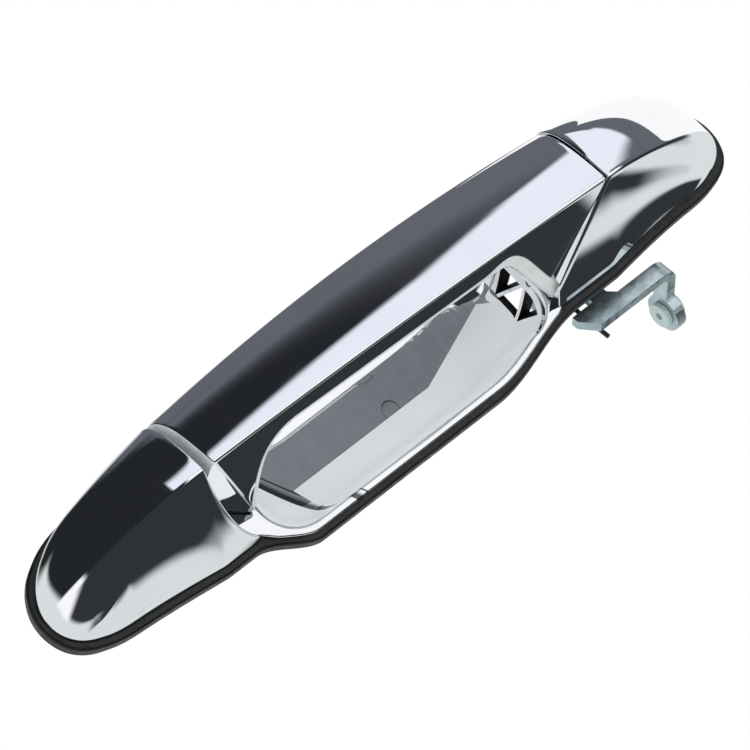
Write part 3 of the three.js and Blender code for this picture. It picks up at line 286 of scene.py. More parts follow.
def front_curve(x, top, base_out, out_limit):
    """From the crest over the shoulder to the top and straight back to out_limit, as (out, z)."""
    crest = np.array((max(crest_out(x), base_out + LEAST_CREST), crest_z(x)))
    depth = crest[0] - base_out
    first, second, last = (base_out + share * depth for share in SHOULDER_DEPTHS)
    curve = (crest, (first, lerp(crest[1], top, SHOULDER_RISE)), (second, top), (last, top))
    points = [bezier(curve, i / LINE_STEPS) for i in range(LINE_STEPS + 1)]
    end = points[-1]
    limit = np.array((min(out_limit, end[0]), top))
    return points + [lerp(end, limit, i / 10) for i in range(1, 11)]


def with_crest_fillet(lower, front, reach):
    """Joins the lower line, which ends at the crest, to the front line, which starts there."""
    crest = front[0]
    low_gap = np.linalg.norm(lower[0] - crest)
    front_gap = np.linalg.norm(front[LINE_STEPS // 2] - crest)
    reach = min(reach, CREST_FILLET_SHARE * low_gap, CREST_FILLET_SHARE * front_gap)
    fillet = rounded(unit(lower[-2] - crest), crest, unit(front[1] - crest), reach)
    clear = reach * CREST_FILLET_CLEAR
    keep_low = [p for p in lower if np.linalg.norm(p - crest) > clear]
    keep_front = [p for p in front[1:] if np.linalg.norm(p - crest) > clear]
    return keep_low, fillet, keep_front


def resample(points, count):
    """count points along a line, spread evenly by length."""
    points = np.array(points, float)
    steps = np.concatenate([[0], np.cumsum(np.linalg.norm(np.diff(points, axis=0), axis=1))])
    if steps[-1] < 1e-9:
        return np.repeat(points[:1], count, axis=0)
    at = np.linspace(0, steps[-1], count)
    return np.stack([np.interp(at, steps, points[:, k]) for k in range(points.shape[1])], axis=1)


# ---------------------------------------- meshes

WELD_DISTANCE = 2e-6
TINY_DISTANCE = 1e-7


def link_object(name, mesh):
    piece = bpy.data.objects.new(name, mesh)
    bpy.context.scene.collection.objects.link(piece)
    return piece


def grid_piece(name, rows, closed_rows=False, closed_columns=False):
    """A mesh through rows of equally many (x, out, z) points in millimetres."""
    count = len(rows[0])
    verts = [(p[0] * MM, -p[1] * MM, p[2] * MM) for row in rows for p in np.array(row, float)]
    faces = []
    last_row = len(rows) if closed_rows else len(rows) - 1
    last_column = count if closed_columns else count - 1
    for i in range(last_row):
        here = i * count
        after = (i + 1) % len(rows) * count
        for j in range(last_column):
            k = (j + 1) % count
            faces.append((here + j, here + k, after + k, after + j))
    mesh = bpy.data.meshes.new(name)
    mesh.from_pydata(verts, [], faces)
    mesh.update()
    bm = bmesh.new()
    bm.from_mesh(mesh)
    bmesh.ops.remove_doubles(bm, verts=bm.verts, dist=WELD_DISTANCE)
    bmesh.ops.dissolve_degenerate(bm, edges=bm.edges, dist=TINY_DISTANCE)
    bmesh.ops.recalc_face_normals(bm, faces=bm.faces)
    bm.to_mesh(mesh)
    bm.free()
    mesh.shade_smooth()
    return link_object(name, mesh)


def sharpen(piece, degrees):
    piece.data.set_sharp_from_angle(angle=math.radians(degrees))


def inward_of(edge):
    """Unit directions across X from each point of an end's edge towards the edge's middle."""
    centre = edge.mean(axis=0)
    return np.array([unit((0, centre[1] - p[1], centre[2] - p[2])) for p in edge])


def end_fillet(edge, inward, side, angles):
    """Rows of points round an end's edge, whose piece lies on the given side of it along X."""
    rows = []
    for angle in angles:
        a = math.radians(angle)
        shift = np.array((side * EDGE_FILLET * (1 - math.sin(a)), 0, 0))
        rows.append(edge + inward * EDGE_FILLET * (1 - math.cos(a)) + shift)
    return rows


def end_walls(edge, inward, back_out, inset, depths):
    """Rows of points straight back to back_out from just inside an end's edge."""
    rows = []
    for deep in depths:
        row = []
        for p, n in zip(edge, inward):
            out = max(lerp(p[1] - END_WALL_DROP, back_out, deep), min(p[1], back_out))
            row.append((p[0], out, p[2] + n[2] * inset))
        rows.append(row)
    return rows


# ---------------------------------------- end caps

def cap_section(x):
    """The cap's section at x as fixed numbers of points, base to crest to base."""
    crest = np.array((max(crest_out(x), SEAT_OUT + LEAST_CREST), crest_z(x)))
    bottom = min(bottom_edge(x) + bulge(x), crest[1] - LEAST_HEIGHT)
    top = max(top_edge(x), crest[1] + LEAST_HEIGHT)
    base = np.array((SEAT_OUT, bottom))
    bow = lerp(CAP_BOW_SEAM, CAP_BOW_NOSE, along_cap(x))
    bowed = lerp(lerp(base, crest, 0.5), np.array((crest[0], bottom)), bow)
    lower = [bezier((base, bowed, crest), i / LINE_STEPS) for i in range(LINE_STEPS + 1)]
    front = front_curve(x, top, SEAT_OUT, SEAT_OUT)
    low, fillet, face = with_crest_fillet(lower, front, CREST_FILLET)
    low = resample(low + [fillet[0]], LOW_COUNT)[:-1]
    face = resample([fillet[-1]] + face, FRONT_COUNT)[1:]
    return np.array(list(low) + fillet + list(face))


def cap_edge_x(side, z):
    """Where the cap's edge lies at height z, as seen from the front."""
    seam = side * seam_at(side)
    if z >= crest_z(seam):
        return seam
    if side < 0:
        corner = (SEAM_LEFT_X, crest_z(SEAM_LEFT_X))
        curve = (corner, CAP_CURVE_LEFT, CAP_FOOT_LEFT)
        edge = np.array([bezier(curve, i / LINE_STEPS) for i in range(LINE_STEPS + 1)])
    else:
        tip = STRAP_TIP_RIGHT_X
        edge = np.array([(seam, crest_z(seam)), (tip, lower_face_z(tip, STRAP_BACK_OUT))])
    return float(np.interp(-z, -edge[:, 1], edge[:, 0]))


def cap_starts(side, low_end):
    """Where each line along the cap starts along X: at the cap's edge, and no further in than the seam."""
    seam = side * seam_at(side)
    table_x = [side * u for u in np.linspace(low_end, seam_at(side), CAP_EDGE_SAMPLES)]
    table = np.array([cap_section(x) for x in table_x])
    starts = []
    for heights in table[:, :, 1].T:
        gaps = [side * (x - cap_edge_x(side, z)) for x, z in zip(table_x, heights)]
        first = next((i for i, gap in enumerate(gaps) if gap >= 0), len(gaps) - 1)
        if first == 0:
            starts.append(table_x[0])
            continue
        a, b = gaps[first - 1], gaps[first]
        share = -a / (b - a) if b > a else 1
        starts.append(lerp(table_x[first - 1], table_x[first], share))
    return np.minimum(starts, seam) if side > 0 else np.maximum(starts, seam)


def cap_rows(side):
    """The cap's rows of points, from its edge to its nose."""
    end = side * body_end(side)
    low_end = min(abs(STRAP_TIP_LEFT_X), STRAP_TIP_RIGHT_X) - 5
    starts = cap_starts(side, low_end)
    # Sections at many places, so that each line along the cap reads its own point between them.
    shares = [math.sin(i / CAP_SAMPLES * math.pi / 2) for i in range(CAP_SAMPLES + 1)]
    sample_x = [lerp(side * low_end, end, share) for share in shares]
    sections = np.array([cap_section(x) for x in sample_x])
    along = np.array(sample_x) * side
    rows = []
    for i in range(CAP_STEPS + 1):
        t = math.sin(i / CAP_STEPS * math.pi / 2)
        row = []
        for j, start in enumerate(starts):
            x = lerp(start, end, t)
            out = np.interp(x * side, along, sections[:, j, 0])
            z = np.interp(x * side, along, sections[:, j, 1])
            row.append((x, out, z))
        rows.append(row)
    return rows


def with_end_wall(rows, side, back_out):
    """Adds a rounded edge and the end wall, which runs straight back from the edge."""
    edge = np.array(rows[0])
    inward = inward_of(edge)
    walls = end_walls(edge, inward, back_out, CAP_WALL_INSET, (1.0, 0.7, 0.35))
    flat = edge + inward * EDGE_FILLET
    fillet = end_fillet(edge, inward, side, (75, 50, 25))
    step = np.array((side * EDGE_FILLET, 0, 0))
    moved = []
    for p, q in zip(edge, rows[2]):
        moved.append(p + step if side * (q[0] - p[0]) > EDGE_FILLET else p)
    return walls + [flat] + fillet + [moved] + rows[2:]


chrome_pieces = []
for side, name, node in ((-1, "cap_left", "left_end_cap"), (1, "cap_right", "right_end_cap")):
    rows = with_end_wall(cap_rows(side), side, SEAT_OUT)
    piece = grid_piece(name, rows)
    sharpen(piece, 50)
    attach(piece, "base")
    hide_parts(node)
    chrome_pieces.append(piece)

# ---------------------------------------- strap

def grip_line(z, count=60):
    """The grip's inner edge at height z as (x, out), from the left tip to the right tip."""
    out = GRIP_OUT - GRIP_SLANT * z
    back = STRAP_BACK_OUT
    left = (
        (STRAP_TIP_LEFT_X + 0.4, back),
        (STRAP_TIP_LEFT_X + 4, lerp(back, out, 0.44)),
        (GRIP_LEFT_X - GRIP_LEFT_CORNER, out - 1),
        (GRIP_LEFT_X, out),
    )
    right = (
        (GRIP_RIGHT_X, out),
        (GRIP_RIGHT_X + GRIP_RIGHT_CORNER, out),
        (STRAP_TIP_RIGHT_X - 14, lerp(back, out, 0.6)),
        (STRAP_TIP_RIGHT_X, back),
    )
    points = [bezier(left, i / count) for i in range(count + 1)]
    points += [bezier(right, i / count) for i in range(count + 1)]
    return np.array(points)


def grip_out_at(x, z):
    line = grip_line(z, 24)
    return float(np.interp(x, line[:, 0], line[:, 1]))


def strap_edge_x(side, out):
    """The strap's end above the crest. The left end leans, to clear the cap when the strap opens."""
    if side > 0:
        return SEAM_RIGHT_X - SEAM_GAP
    turn = math.radians(STRAP_TRAVEL_DEG)
    reach = SEAM_LEFT_X + SEAM_GAP - HINGE_X
    return HINGE_X + reach * math.cos(turn) + (out - HINGE_OUT) * math.sin(turn)


def grip_edge():
    """The grip's lower edge, where its inner side meets the strap's flat lower face."""
    edge = []
    for x, out in grip_line(-12, 80):
        for _ in range(4):
            line = grip_line(lower_face_z(x, out))
            out = float(np.interp(x, line[:, 0], line[:, 1]))
        edge.append((x, out))
    return np.array(edge)


def strap_front(x, share, crest_left):
    """The strap's outer line from its crest at x to the back of its top."""
    top = top_edge(x) + STRAP_CROWN * (1 - (x / seam_at(x)) ** 2)
    front = [np.array((x, out, z)) for out, z in front_curve(x, top, 0, grip_out_at(x, top))]
    lean = max(1 - share / LEAN_SHARE, 0.0)
    return [p + np.array(((strap_edge_x(-1, p[1]) - crest_left) * lean, 0, 0)) for p in front]


def strap_row(edge_x, edge_out, share, crest_left, crest_right):
    """A row across the strap: the grip's inner side, its lip, the lower face, the crest and the front."""
    crest_x = lerp(crest_left, crest_right, share)
    lower = []
    for k in range(LINE_STEPS + 1):
        x = lerp(edge_x, crest_x, k / LINE_STEPS)
        out = lerp(edge_out, crest_out(crest_x), k / LINE_STEPS)
        lower.append(np.array((x, out, lower_face_z(x, out))))
    front = strap_front(crest_x, share, crest_left)
    low, fillet, face = with_crest_fillet(lower, front, CREST_FILLET)
    slant = GRIP_SLANT if GRIP_LEFT_X < edge_x < GRIP_RIGHT_X else 0.1
    inward = unit((0, -slant, 1))
    edge = lower[0]
    room = np.linalg.norm(lower[-1] - edge)
    reach = min(GRIP_FILLET, GRIP_FILLET_SHARE * room)
    lip = rounded(inward, edge, unit(lower[3] - edge), reach, LIP_COUNT)
    inner = [edge + inward * depth for depth in GRIP_INNER_DEPTHS]
    clear = np.linalg.norm(lip[-1] - edge) * GRIP_FILLET_CLEAR
    low = [p for p in low if np.linalg.norm(p - edge) > clear]
    low = resample([lip[-1]] + low + [fillet[0]], LOW_COUNT + 8)[1:-1]
    face = resample([fillet[-1]] + face, FRONT_COUNT + 10)[1:]
    return np.array(inner + lip + list(low) + fillet + list(face))


def strap_rows():
    low_edge = resample(grip_edge(), STRAP_STEPS + 1)
    first, last = low_edge[0][0], low_edge[-1][0]
    crest_left = strap_edge_x(-1, CREST_OUT_SEAM)
    crest_right = strap_edge_x(1, CREST_OUT_SEAM)
    rows = []
    for i, (x, out) in enumerate(low_edge):
        # Crest points half follow the lower edge's own spacing, so that the rows run nearly straight across.
        share = lerp((x - first) / (last - first), i / STRAP_STEPS, 0.5)
        rows.append(strap_row(x, out, share, crest_left, crest_right))
    return rows


def mark_lip_highlight(piece):
    """Gives each vertex how far inside the pale painted highlight along the rolled lip it lies, in
    millimetres.
    """
    line = resample(grip_edge(), 400)
    line = np.array([(x, -out, lower_face_z(x, out)) for x, out in line])
    values = piece.data.attributes.new("lip", "FLOAT", "POINT")
    for v in piece.data.vertices:
        place = np.array(v.co) / MM
        near = np.min(np.linalg.norm(line - place, axis=1))
        width = lerp(LIP_WIDTH, LIP_WIDTH_RIGHT, smooth(*LIP_WIDENS, place[0]))
        values.data[v.index].value = width - near


def strap_piece():
    rows = strap_rows()
    ends = []
    for edge, side in ((rows[0], 1), (rows[-1], -1)):
        inward = inward_of(edge)
        walls = end_walls(edge, inward, STRAP_BACK_OUT, STRAP_WALL_INSET, (1.0, 0.5, 0.1))
        fillet = end_fillet(edge, inward, side, (90, 60, 30))
        moved = edge + np.array((side * EDGE_FILLET, 0, 0))
        ends.append(walls + fillet + [moved])
    return grid_piece("strap", ends[0] + rows[2:-2] + ends[1][::-1])


strap = strap_piece()
mark_lip_highlight(strap)
sharpen(strap, 50)
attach(strap, "strap")
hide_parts("strap_shell")
chrome_pieces.append(strap)

# ---------------------------------------- bucket and rim

def outline_xs(grow):
    """Places along X where the outline is read, closest together at the noses."""
    left = BODY_LEFT_LENGTH - NOSE_LENGTH
    right = BODY_RIGHT_LENGTH - NOSE_LENGTH
    nose = NOSE_LENGTH + grow
    left_nose = [-left - nose * math.sin(math.radians(a)) for a in np.linspace(90, 0, 31)]
    right_nose = [right + nose * math.sin(math.radians(a)) for a in np.linspace(0, 90, 31)]
    return left_nose + list(np.linspace(-left, right, 200))[1:-1] + right_nose


def outline(grow, out):
    """The plan outline grown outwards, as a closed ring."""
    xs = outline_xs(grow)
    lower = [(x, out, bottom_edge(x, grow)) for x in xs]
    upper = [(x, out, top_edge(x, grow)) for x in xs[1:-1]]
    return lower + upper[::-1]


def mouth():
    """The dish's mouth as evenly spaced (x, z) points."""
    left = DISH_LEFT_X + DISH_CORNER
    right = DISH_RIGHT_X - DISH_CORNER
    top = DISH_TOP_Z - DISH_CORNER

    def low(x):
        return bottom_edge(x) + RIM_LIP

    def corner(x, z, start):
        angles = [math.radians(a) for a in np.linspace(start, start + 90, 20)]
        return [(x + DISH_CORNER * math.cos(a), z + DISH_CORNER * math.sin(a)) for a in angles]

    points = corner(left, low(left) + DISH_CORNER, 180)
    points += [(x, low(x)) for x in np.linspace(left, right, 60)[1:-1]]
    points += corner(right, low(right) + DISH_CORNER, 270)
    points += corner(right, top, 0)
    points += corner(left, top, 90)
    return resample(points + points[:1], RING_COUNT + 1)[:-1]


# The dish's wall from mouth to floor, as shares of its depth and of the mouth's height.
DISH_STEPS = np.array([
    (0, 1),
    (0.1, 0.965),
    (0.3, 0.915),
    (0.55, 0.85),
    (0.78, 0.765),
    (0.9, 0.67),
    (0.97, 0.54),
    (1, DISH_FLOOR_SCALE),
    (1, 0),
])
DISH_MIDDLE = np.array(((DISH_LEFT_X + DISH_RIGHT_X) / 2, DISH_MIDDLE_Z))


def dish_rings():
    # A smooth line through the wall's steps.
    line = DISH_STEPS.copy()
    for _ in range(DISH_SMOOTHING):
        fine = [line[0]]
        for a, b in zip(line, line[1:]):
            fine += [lerp(a, b, 0.25), lerp(a, b, 0.75)]
        line = np.array(fine + [line[-1]])
    depth = RIM_OUT - DISH_FLOOR_OUT
    weights = np.array((depth, DISH_SCALE_WEIGHT))
    rings = []
    for t, scale in resample(line * weights, 64) / weights:
        wall = max(scale, DISH_FLOOR_SCALE)
        across = (1 - (1 - wall) * DISH_NARROWING) * scale / wall
        ring = DISH_MIDDLE + (mouth() - DISH_MIDDLE) * (across, scale)
        rings.append(np.array([(x, RIM_OUT - t * depth, z) for x, z in ring]))
    return rings


def rim_ring(grow, out):
    """The rim's outline, drawn in under the caps, in step with the points of the dish's mouth."""
    pulled = []
    for x, _, z in outline(grow, 0):
        under = RIM_UNDER_CAP * max(smooth(*RIM_UNDER_LEFT, x), smooth(*RIM_UNDER_RIGHT, x))
        if abs(x) > RIM_END_X:
            x -= math.copysign(under, x)
        pulled.append((x, z - math.copysign(under, z)))

    def angles_of(ring):
        offset = ring - DISH_MIDDLE
        return np.mod(np.arctan2(offset[:, 1], offset[:, 0]), 2 * math.pi)

    ring = np.array(pulled)
    ring = ring[np.argsort(angles_of(ring))]
    angles = angles_of(ring)
    wanted = angles_of(mouth())
    xs = np.interp(wanted, angles, ring[:, 0], period=2 * math.pi)
    zs = np.interp(wanted, angles, ring[:, 1], period=2 * math.pi)
    return np.array([(x, out, z) for x, z in zip(xs, zs)])


def window_corners():
    """The triangular windows of the release end's truss, as corners in out and height."""
    pitch = WINDOW_WIDTH / 2 + WINDOW_STRUT
    windows = []
    for i in range(WINDOW_COUNT):
        z = WINDOW_TOP_Z - WINDOW_WIDTH / 2 - i * pitch
        base, apex = WINDOW_FRONT_OUT, WINDOW_BACK_OUT
        if i % 2:
            base, apex = apex, base
        windows.append([(base, z - WINDOW_WIDTH / 2), (base, z + WINDOW_WIDTH / 2), (apex, z)])
    return windows


def window_sides(corners):
    """A window's sides as planes: a point of each, in metres, and its direction out of the window."""
    middle = np.mean(corners, axis=0)
    sides = []
    for a, b in zip(corners, corners[1:] + corners[:1]):
        normal = np.array((a[1] - b[1], b[0] - a[0]))
        if np.dot(middle - np.array(a), normal) > 0:
            normal = -normal
        at = Vector((0, -a[0] * MM, a[1] * MM))
        sides.append((at, Vector((0, -normal[0], normal[1])).normalized()))
    return sides


def cut_window(mesh, corners, tunnel):
    """Cuts a window through the dish's end and turns its edges back by tunnel, black as painted shade."""
    sides = window_sides(corners)

    def inside(face, margin):
        centre = face.calc_center_median()
        within = all((centre - at).dot(n) < margin * MM for at, n in sides)
        return within and centre.x > WINDOW_FROM_X * MM

    for at, n in sides:
        near = [f for f in mesh.faces if inside(f, WINDOW_MARGIN)]
        edges = [e for f in near for e in f.edges]
        verts = [v for f in near for v in f.verts]
        parts = list(dict.fromkeys(near + edges + verts))
        bmesh.ops.bisect_plane(mesh, geom=parts, dist=TINY_DISTANCE, plane_co=at, plane_no=n)
    hole = [f for f in mesh.faces if inside(f, 0)]
    hole_edges = dict.fromkeys(e for f in hole for e in f.edges)
    rim = [e for e in hole_edges if any(f not in hole for f in e.link_faces)]
    bmesh.ops.delete(mesh, geom=hole, context="FACES")
    for part in bmesh.ops.extrude_edge_only(mesh, edges=rim)["geom"]:
        if isinstance(part, bmesh.types.BMVert):
            part.co.x += tunnel * MM
        if isinstance(part, bmesh.types.BMFace):
            part.material_index = WINDOW_SHADE_INDEX


def cut_windows(piece):
    mesh = bmesh.new()
    mesh.from_mesh(piece.data)
    for corners, tunnel in zip(window_corners(), WINDOW_TUNNELS):
        cut_window(mesh, corners, tunnel)
    bmesh.ops.recalc_face_normals(mesh, faces=mesh.faces)
    mesh.to_mesh(piece.data)
    mesh.free()


def bucket_piece():
    """The rim and the dish as one sheet, from the rim's foot under the caps to the dish's floor."""
    foot_out = SEAT_OUT - RIM_FOOT_SINK
    outer = [rim_ring(-RIM_FOOT_INSET, foot_out), rim_ring(0.0, foot_out)]
    for angle in np.linspace(0, 90, 6):
        a = math.radians(angle)
        outer.append(rim_ring(-RIM_ROUND * (1 - math.cos(a)), RIM_OUT - RIM_ROUND * (1 - math.sin(a))))
    rings = dish_rings()
    lip = rings[0]
    flat = outer[-1]
    between = [lerp(flat, lip, t) for t in (0.3, 0.6)]
    back = [unit(a - b) for a, b in zip(flat, lip)]
    down = [unit(a - b) for a, b in zip(rings[2], lip)]
    edge = []
    for t in np.linspace(0, 1, 6):
        corners = [(p + o * RIM_EDGE, p, p + d * RIM_EDGE) for p, o, d in zip(lip, back, down)]
        edge.append([bezier(corner, t) for corner in corners])
    piece = grid_piece("dish", outer + between + edge + rings[3:], closed_columns=True)
    cut_windows(piece)
    return piece


bucket = bucket_piece()
sharpen(bucket, 50)
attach(bucket, "base")
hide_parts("bucket")
chrome_pieces.append(bucket)

# ---------------------------------------- gasket

def gasket_piece():
    inner = GASKET_LIP - GASKET_WIDTH
    rows = [outline(inner, 0.0), outline(inner, GASKET_THICKNESS)]
    for angle in np.linspace(90, 0, 7):
        a = math.radians(angle)
        grow = GASKET_LIP - GASKET_ROUND * (1 - math.cos(a))
        rows.append(outline(grow, GASKET_THICKNESS - GASKET_ROUND * (1 - math.sin(a))))
    rows.append(outline(GASKET_LIP - GASKET_FOOT_INSET, GASKET_THICKNESS / 2 - GASKET_FOOT_SINK))
    rows.append(outline(GASKET_LIP, 0.0))
    return grid_piece("seal", rows, closed_rows=True, closed_columns=True)


gasket = gasket_piece()
sharpen(gasket, 40)
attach(gasket, "base")
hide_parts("gasket")

# ---------------------------------------- materials

CHROME_TINTS = ((0.915, 0.92, 0.935), (0.95, 0.955, 0.965))
CHROME_TINT_SCALE = 25
CHROME_HAZE = (60, 4, 0.02, 0.05)
# Dark painted reflections on the dish's chrome, and the faint glow of its pale painted reflection.
DARK_REFLECTION_COLOUR = (0.12, 0.125, 0.14)
PAINTED_GLOW_COLOUR = (0.9, 0.93, 0.95, 1)


def new_material(name, metallic=0.0):
    material = bpy.data.materials.new(name)
    material.use_nodes = True
    tree = material.node_tree
    shader = tree.nodes["Principled BSDF"]
    shader.inputs["Metallic"].default_value = metallic
    return material, tree, shader


def noise(tree, scale, detail=3.0, stretch=(1, 1, 1)):
    coordinates = tree.nodes.new("ShaderNodeTexCoord")
    mapping = tree.nodes.new("ShaderNodeMapping")
    mapping.inputs["Scale"].default_value = stretch
    texture = tree.nodes.new("ShaderNodeTexNoise")
    texture.inputs["Scale"].default_value = scale
    texture.inputs["Detail"].default_value = detail
    tree.links.new(coordinates.outputs["Object"], mapping.inputs["Vector"])
    tree.links.new(mapping.outputs["Vector"], texture.inputs["Vector"])
    return texture.outputs["Fac"]


def ramp(tree, value, low, high, start=0.35, stop=0.65):
    """Maps a texture value to a range of colours or numbers."""
    node = tree.nodes.new("ShaderNodeMapRange")
    node.inputs["From Min"].default_value = start
    node.inputs["From Max"].default_value = stop
    node.inputs["To Min"].default_value = low
    node.inputs["To Max"].default_value = high
    tree.links.new(value, node.inputs["Value"])
    return node.outputs["Result"]


def tint(tree, value, dark, light, start=0.35, stop=0.65):
    node = tree.nodes.new("ShaderNodeValToRGB")
    node.color_ramp.elements[0].position = start
    node.color_ramp.elements[0].color = (*dark, 1)
    node.color_ramp.elements[1].position = stop
    node.color_ramp.elements[1].color = (*light, 1)
    tree.links.new(value, node.inputs["Fac"])
    return node.outputs["Color"]


def bump(tree, shader, height, strength, distance):
    node = tree.nodes.new("ShaderNodeBump")
    node.inputs["Strength"].default_value = strength
    node.inputs["Distance"].default_value = distance
    tree.links.new(height, node.inputs["Height"])
    tree.links.new(node.outputs["Normal"], shader.inputs["Normal"])


def calculate(tree, operation, a, b=0.0):
    node = tree.nodes.new("ShaderNodeMath")
    node.operation = operation
    for socket, value in zip(node.inputs, (a, b)):
        if isinstance(value, (int, float)):
            socket.default_value = value
        else:
            tree.links.new(value, socket)
    return node.outputs["Value"]


def mix_colours(tree, factor, under, over):
    node = tree.nodes.new("ShaderNodeMix")
    node.data_type = "RGBA"
    tree.links.new(factor, node.inputs["Factor"])
    for socket, value in ((node.inputs[6], under), (node.inputs[7], over)):
        if isinstance(value, tuple):
            socket.default_value = (*value, 1)
        else:
            tree.links.new(value, socket)
    return node.outputs[2]


def place_on_part(tree):
    """The shaded point's place on its piece, along X, out from the door and up, in millimetres."""
    coordinates = tree.nodes.new("ShaderNodeTexCoord")
    split = tree.nodes.new("ShaderNodeSeparateXYZ")
    tree.links.new(coordinates.outputs["Object"], split.inputs["Vector"])
    x, y, z = (calculate(tree, "MULTIPLY", split.outputs[name], 1 / MM) for name in "XYZ")
    return x, calculate(tree, "MULTIPLY", y, -1.0), z


def edge_step(tree, value, start, soft=EDGE_SOFT):
    """0 below start and 1 above it."""
    return ramp(tree, value, 0.0, 1.0, start - soft, start + soft)


def haze(tree, scale, detail, low, high, stretch=1):
    """A roughness between low and high, stretched across Z by stretch."""
    return ramp(tree, noise(tree, scale, detail, (1, 1, stretch)), low, high)


def chrome_with_painted_reflections(tree, shader, mask, pale_paint, extra_haze, dark_reflections=None):
    """Chrome that turns to a pale, non-metallic painted reflection where mask is 1, with dark painted
    reflections on the chrome.
    """
    plated = tint(tree, noise(tree, CHROME_TINT_SCALE), *CHROME_TINTS)
    if dark_reflections is not None:
        plated = mix_colours(tree, dark_reflections, plated, DARK_REFLECTION_COLOUR)
    tree.links.new(mix_colours(tree, mask, plated, pale_paint), shader.inputs["Base Color"])
    tree.links.new(calculate(tree, "SUBTRACT", 1.0, mask), shader.inputs["Metallic"])
    extra = calculate(tree, "MULTIPLY", mask, extra_haze)
    rough = calculate(tree, "ADD", haze(tree, *CHROME_HAZE), extra)
    tree.links.new(rough, shader.inputs["Roughness"])


def make_dish_chrome():
    """Chrome with a pale painted reflection, which glows faintly, on its sloping lower wall and left end, and
    dark painted reflections beside it.
    """
    material, tree, shader = new_material("dish_chrome_painted_reflections")
    x, out, z = place_on_part(tree)

    def combine(operation, a, b):
        return calculate(tree, operation, a, b)

    def past(start):
        return combine("MAXIMUM", combine("SUBTRACT", x, start), 0.0)

    def leaning(lean):
        return combine("ADD", x, combine("MULTIPLY", z, lean))

    # The pale painted reflection: the lower wall below a line that rises and then falls, and the left end.
    rise = combine("MULTIPLY", past(PALE_REFLECTION_RISE_FROM_X), PALE_REFLECTION_RISE)
    fall = combine("MULTIPLY", past(PALE_REFLECTION_FALL_FROM_X), PALE_REFLECTION_FALL)
    line = combine("SUBTRACT", combine("ADD", rise, PALE_REFLECTION_TOP_Z), fall)
    below = edge_step(tree, combine("SUBTRACT", line, z), 0)
    inward = edge_step(tree, combine("MULTIPLY", out, -1.0), -PALE_REFLECTION_FROM_OUT, PALE_REFLECTION_OUT_SOFT)
    right = edge_step(tree, leaning(PALE_REFLECTION_LEFT_LEAN), PALE_REFLECTION_LEFT_X)
    wall = combine("MULTIPLY", combine("MULTIPLY", below, inward), right)
    across = leaning(PALE_REFLECTION_END_LEAN)
    left = edge_step(tree, combine("MULTIPLY", across, -1.0), -PALE_REFLECTION_END_X)
    mask = combine("MAXIMUM", wall, combine("MULTIPLY", left, inward))

    # Dark painted reflections: a wide and a fine band beside the left end's leaning line.
    def dark_reflection(start, end, soft=EDGE_SOFT):
        begun = edge_step(tree, across, PALE_REFLECTION_END_X + start)
        return combine("SUBTRACT", begun, edge_step(tree, across, PALE_REFLECTION_END_X + end, soft))

    dark_reflections = combine("MAXIMUM", dark_reflection(*WIDE_DARK_REFLECTION, WIDE_DARK_REFLECTION_SOFT), dark_reflection(*FINE_DARK_REFLECTION))
    dark_reflections = combine("MULTIPLY", dark_reflections, combine("SUBTRACT", 1.0, mask))
    # Pale grey painted in place of the chrome's reflection.
    pale_paint = tint(tree, noise(tree, 40, 4), (0.86, 0.88, 0.89), (0.93, 0.95, 0.955))
    chrome_with_painted_reflections(tree, shader, mask, pale_paint, PALE_REFLECTION_HAZE, dark_reflections)
    # The pale painted reflection glows faintly: painted light.
    shader.inputs["Emission Color"].default_value = PAINTED_GLOW_COLOUR
    tree.links.new(combine("MULTIPLY", mask, PAINTED_GLOW), shader.inputs["Emission Strength"])
    return material


def make_strap_chrome():
    """Chrome with a pale painted highlight along the grip's lip, where the mesh's lip value is above nought.
    """
    material, tree, shader = new_material("strap_chrome_painted_highlight")
    lip = tree.nodes.new("ShaderNodeAttribute")
    lip.attribute_name = "lip"
    mask = edge_step(tree, lip.outputs["Fac"], 0.0, LIP_SOFT)
    # Pale grey painted along the lip in place of the chrome's reflection: a painted highlight.
    pale_paint = tint(tree, noise(tree, 90, 4), (0.79, 0.81, 0.8), (0.86, 0.88, 0.87))
    chrome_with_painted_reflections(tree, shader, mask, pale_paint, LIP_HAZE)
    return material


def grained(name, colours, rough, grain=None, metallic=0.0, brushed=(1, 1)):
    """A material whose colour and roughness vary finely.

    colours is (scale, dark, light) and rough is (scale, detail, low, high). grain stands up from the surface
    and is (scale, detail, strength, height in metres). brushed stretches rough and grain across Z.
    """
    material, tree, shader = new_material(name, metallic)
    scale, dark, light = colours
    tree.links.new(tint(tree, noise(tree, scale), dark, light), shader.inputs["Base Color"])
    tree.links.new(haze(tree, *rough, brushed[0]), shader.inputs["Roughness"])
    if grain:
        scale, detail, strength, rise = grain
        bump(tree, shader, noise(tree, scale, detail, (1, 1, brushed[1])), strength, rise)
    return material


def steel(name, dark, light, rough):
    roughness = (300, 4, rough - 0.08, rough + 0.1)
    return grained(name, (120, dark, light), roughness, (900, 2, 0.15, 0.0001), 1.0, (6, 8))


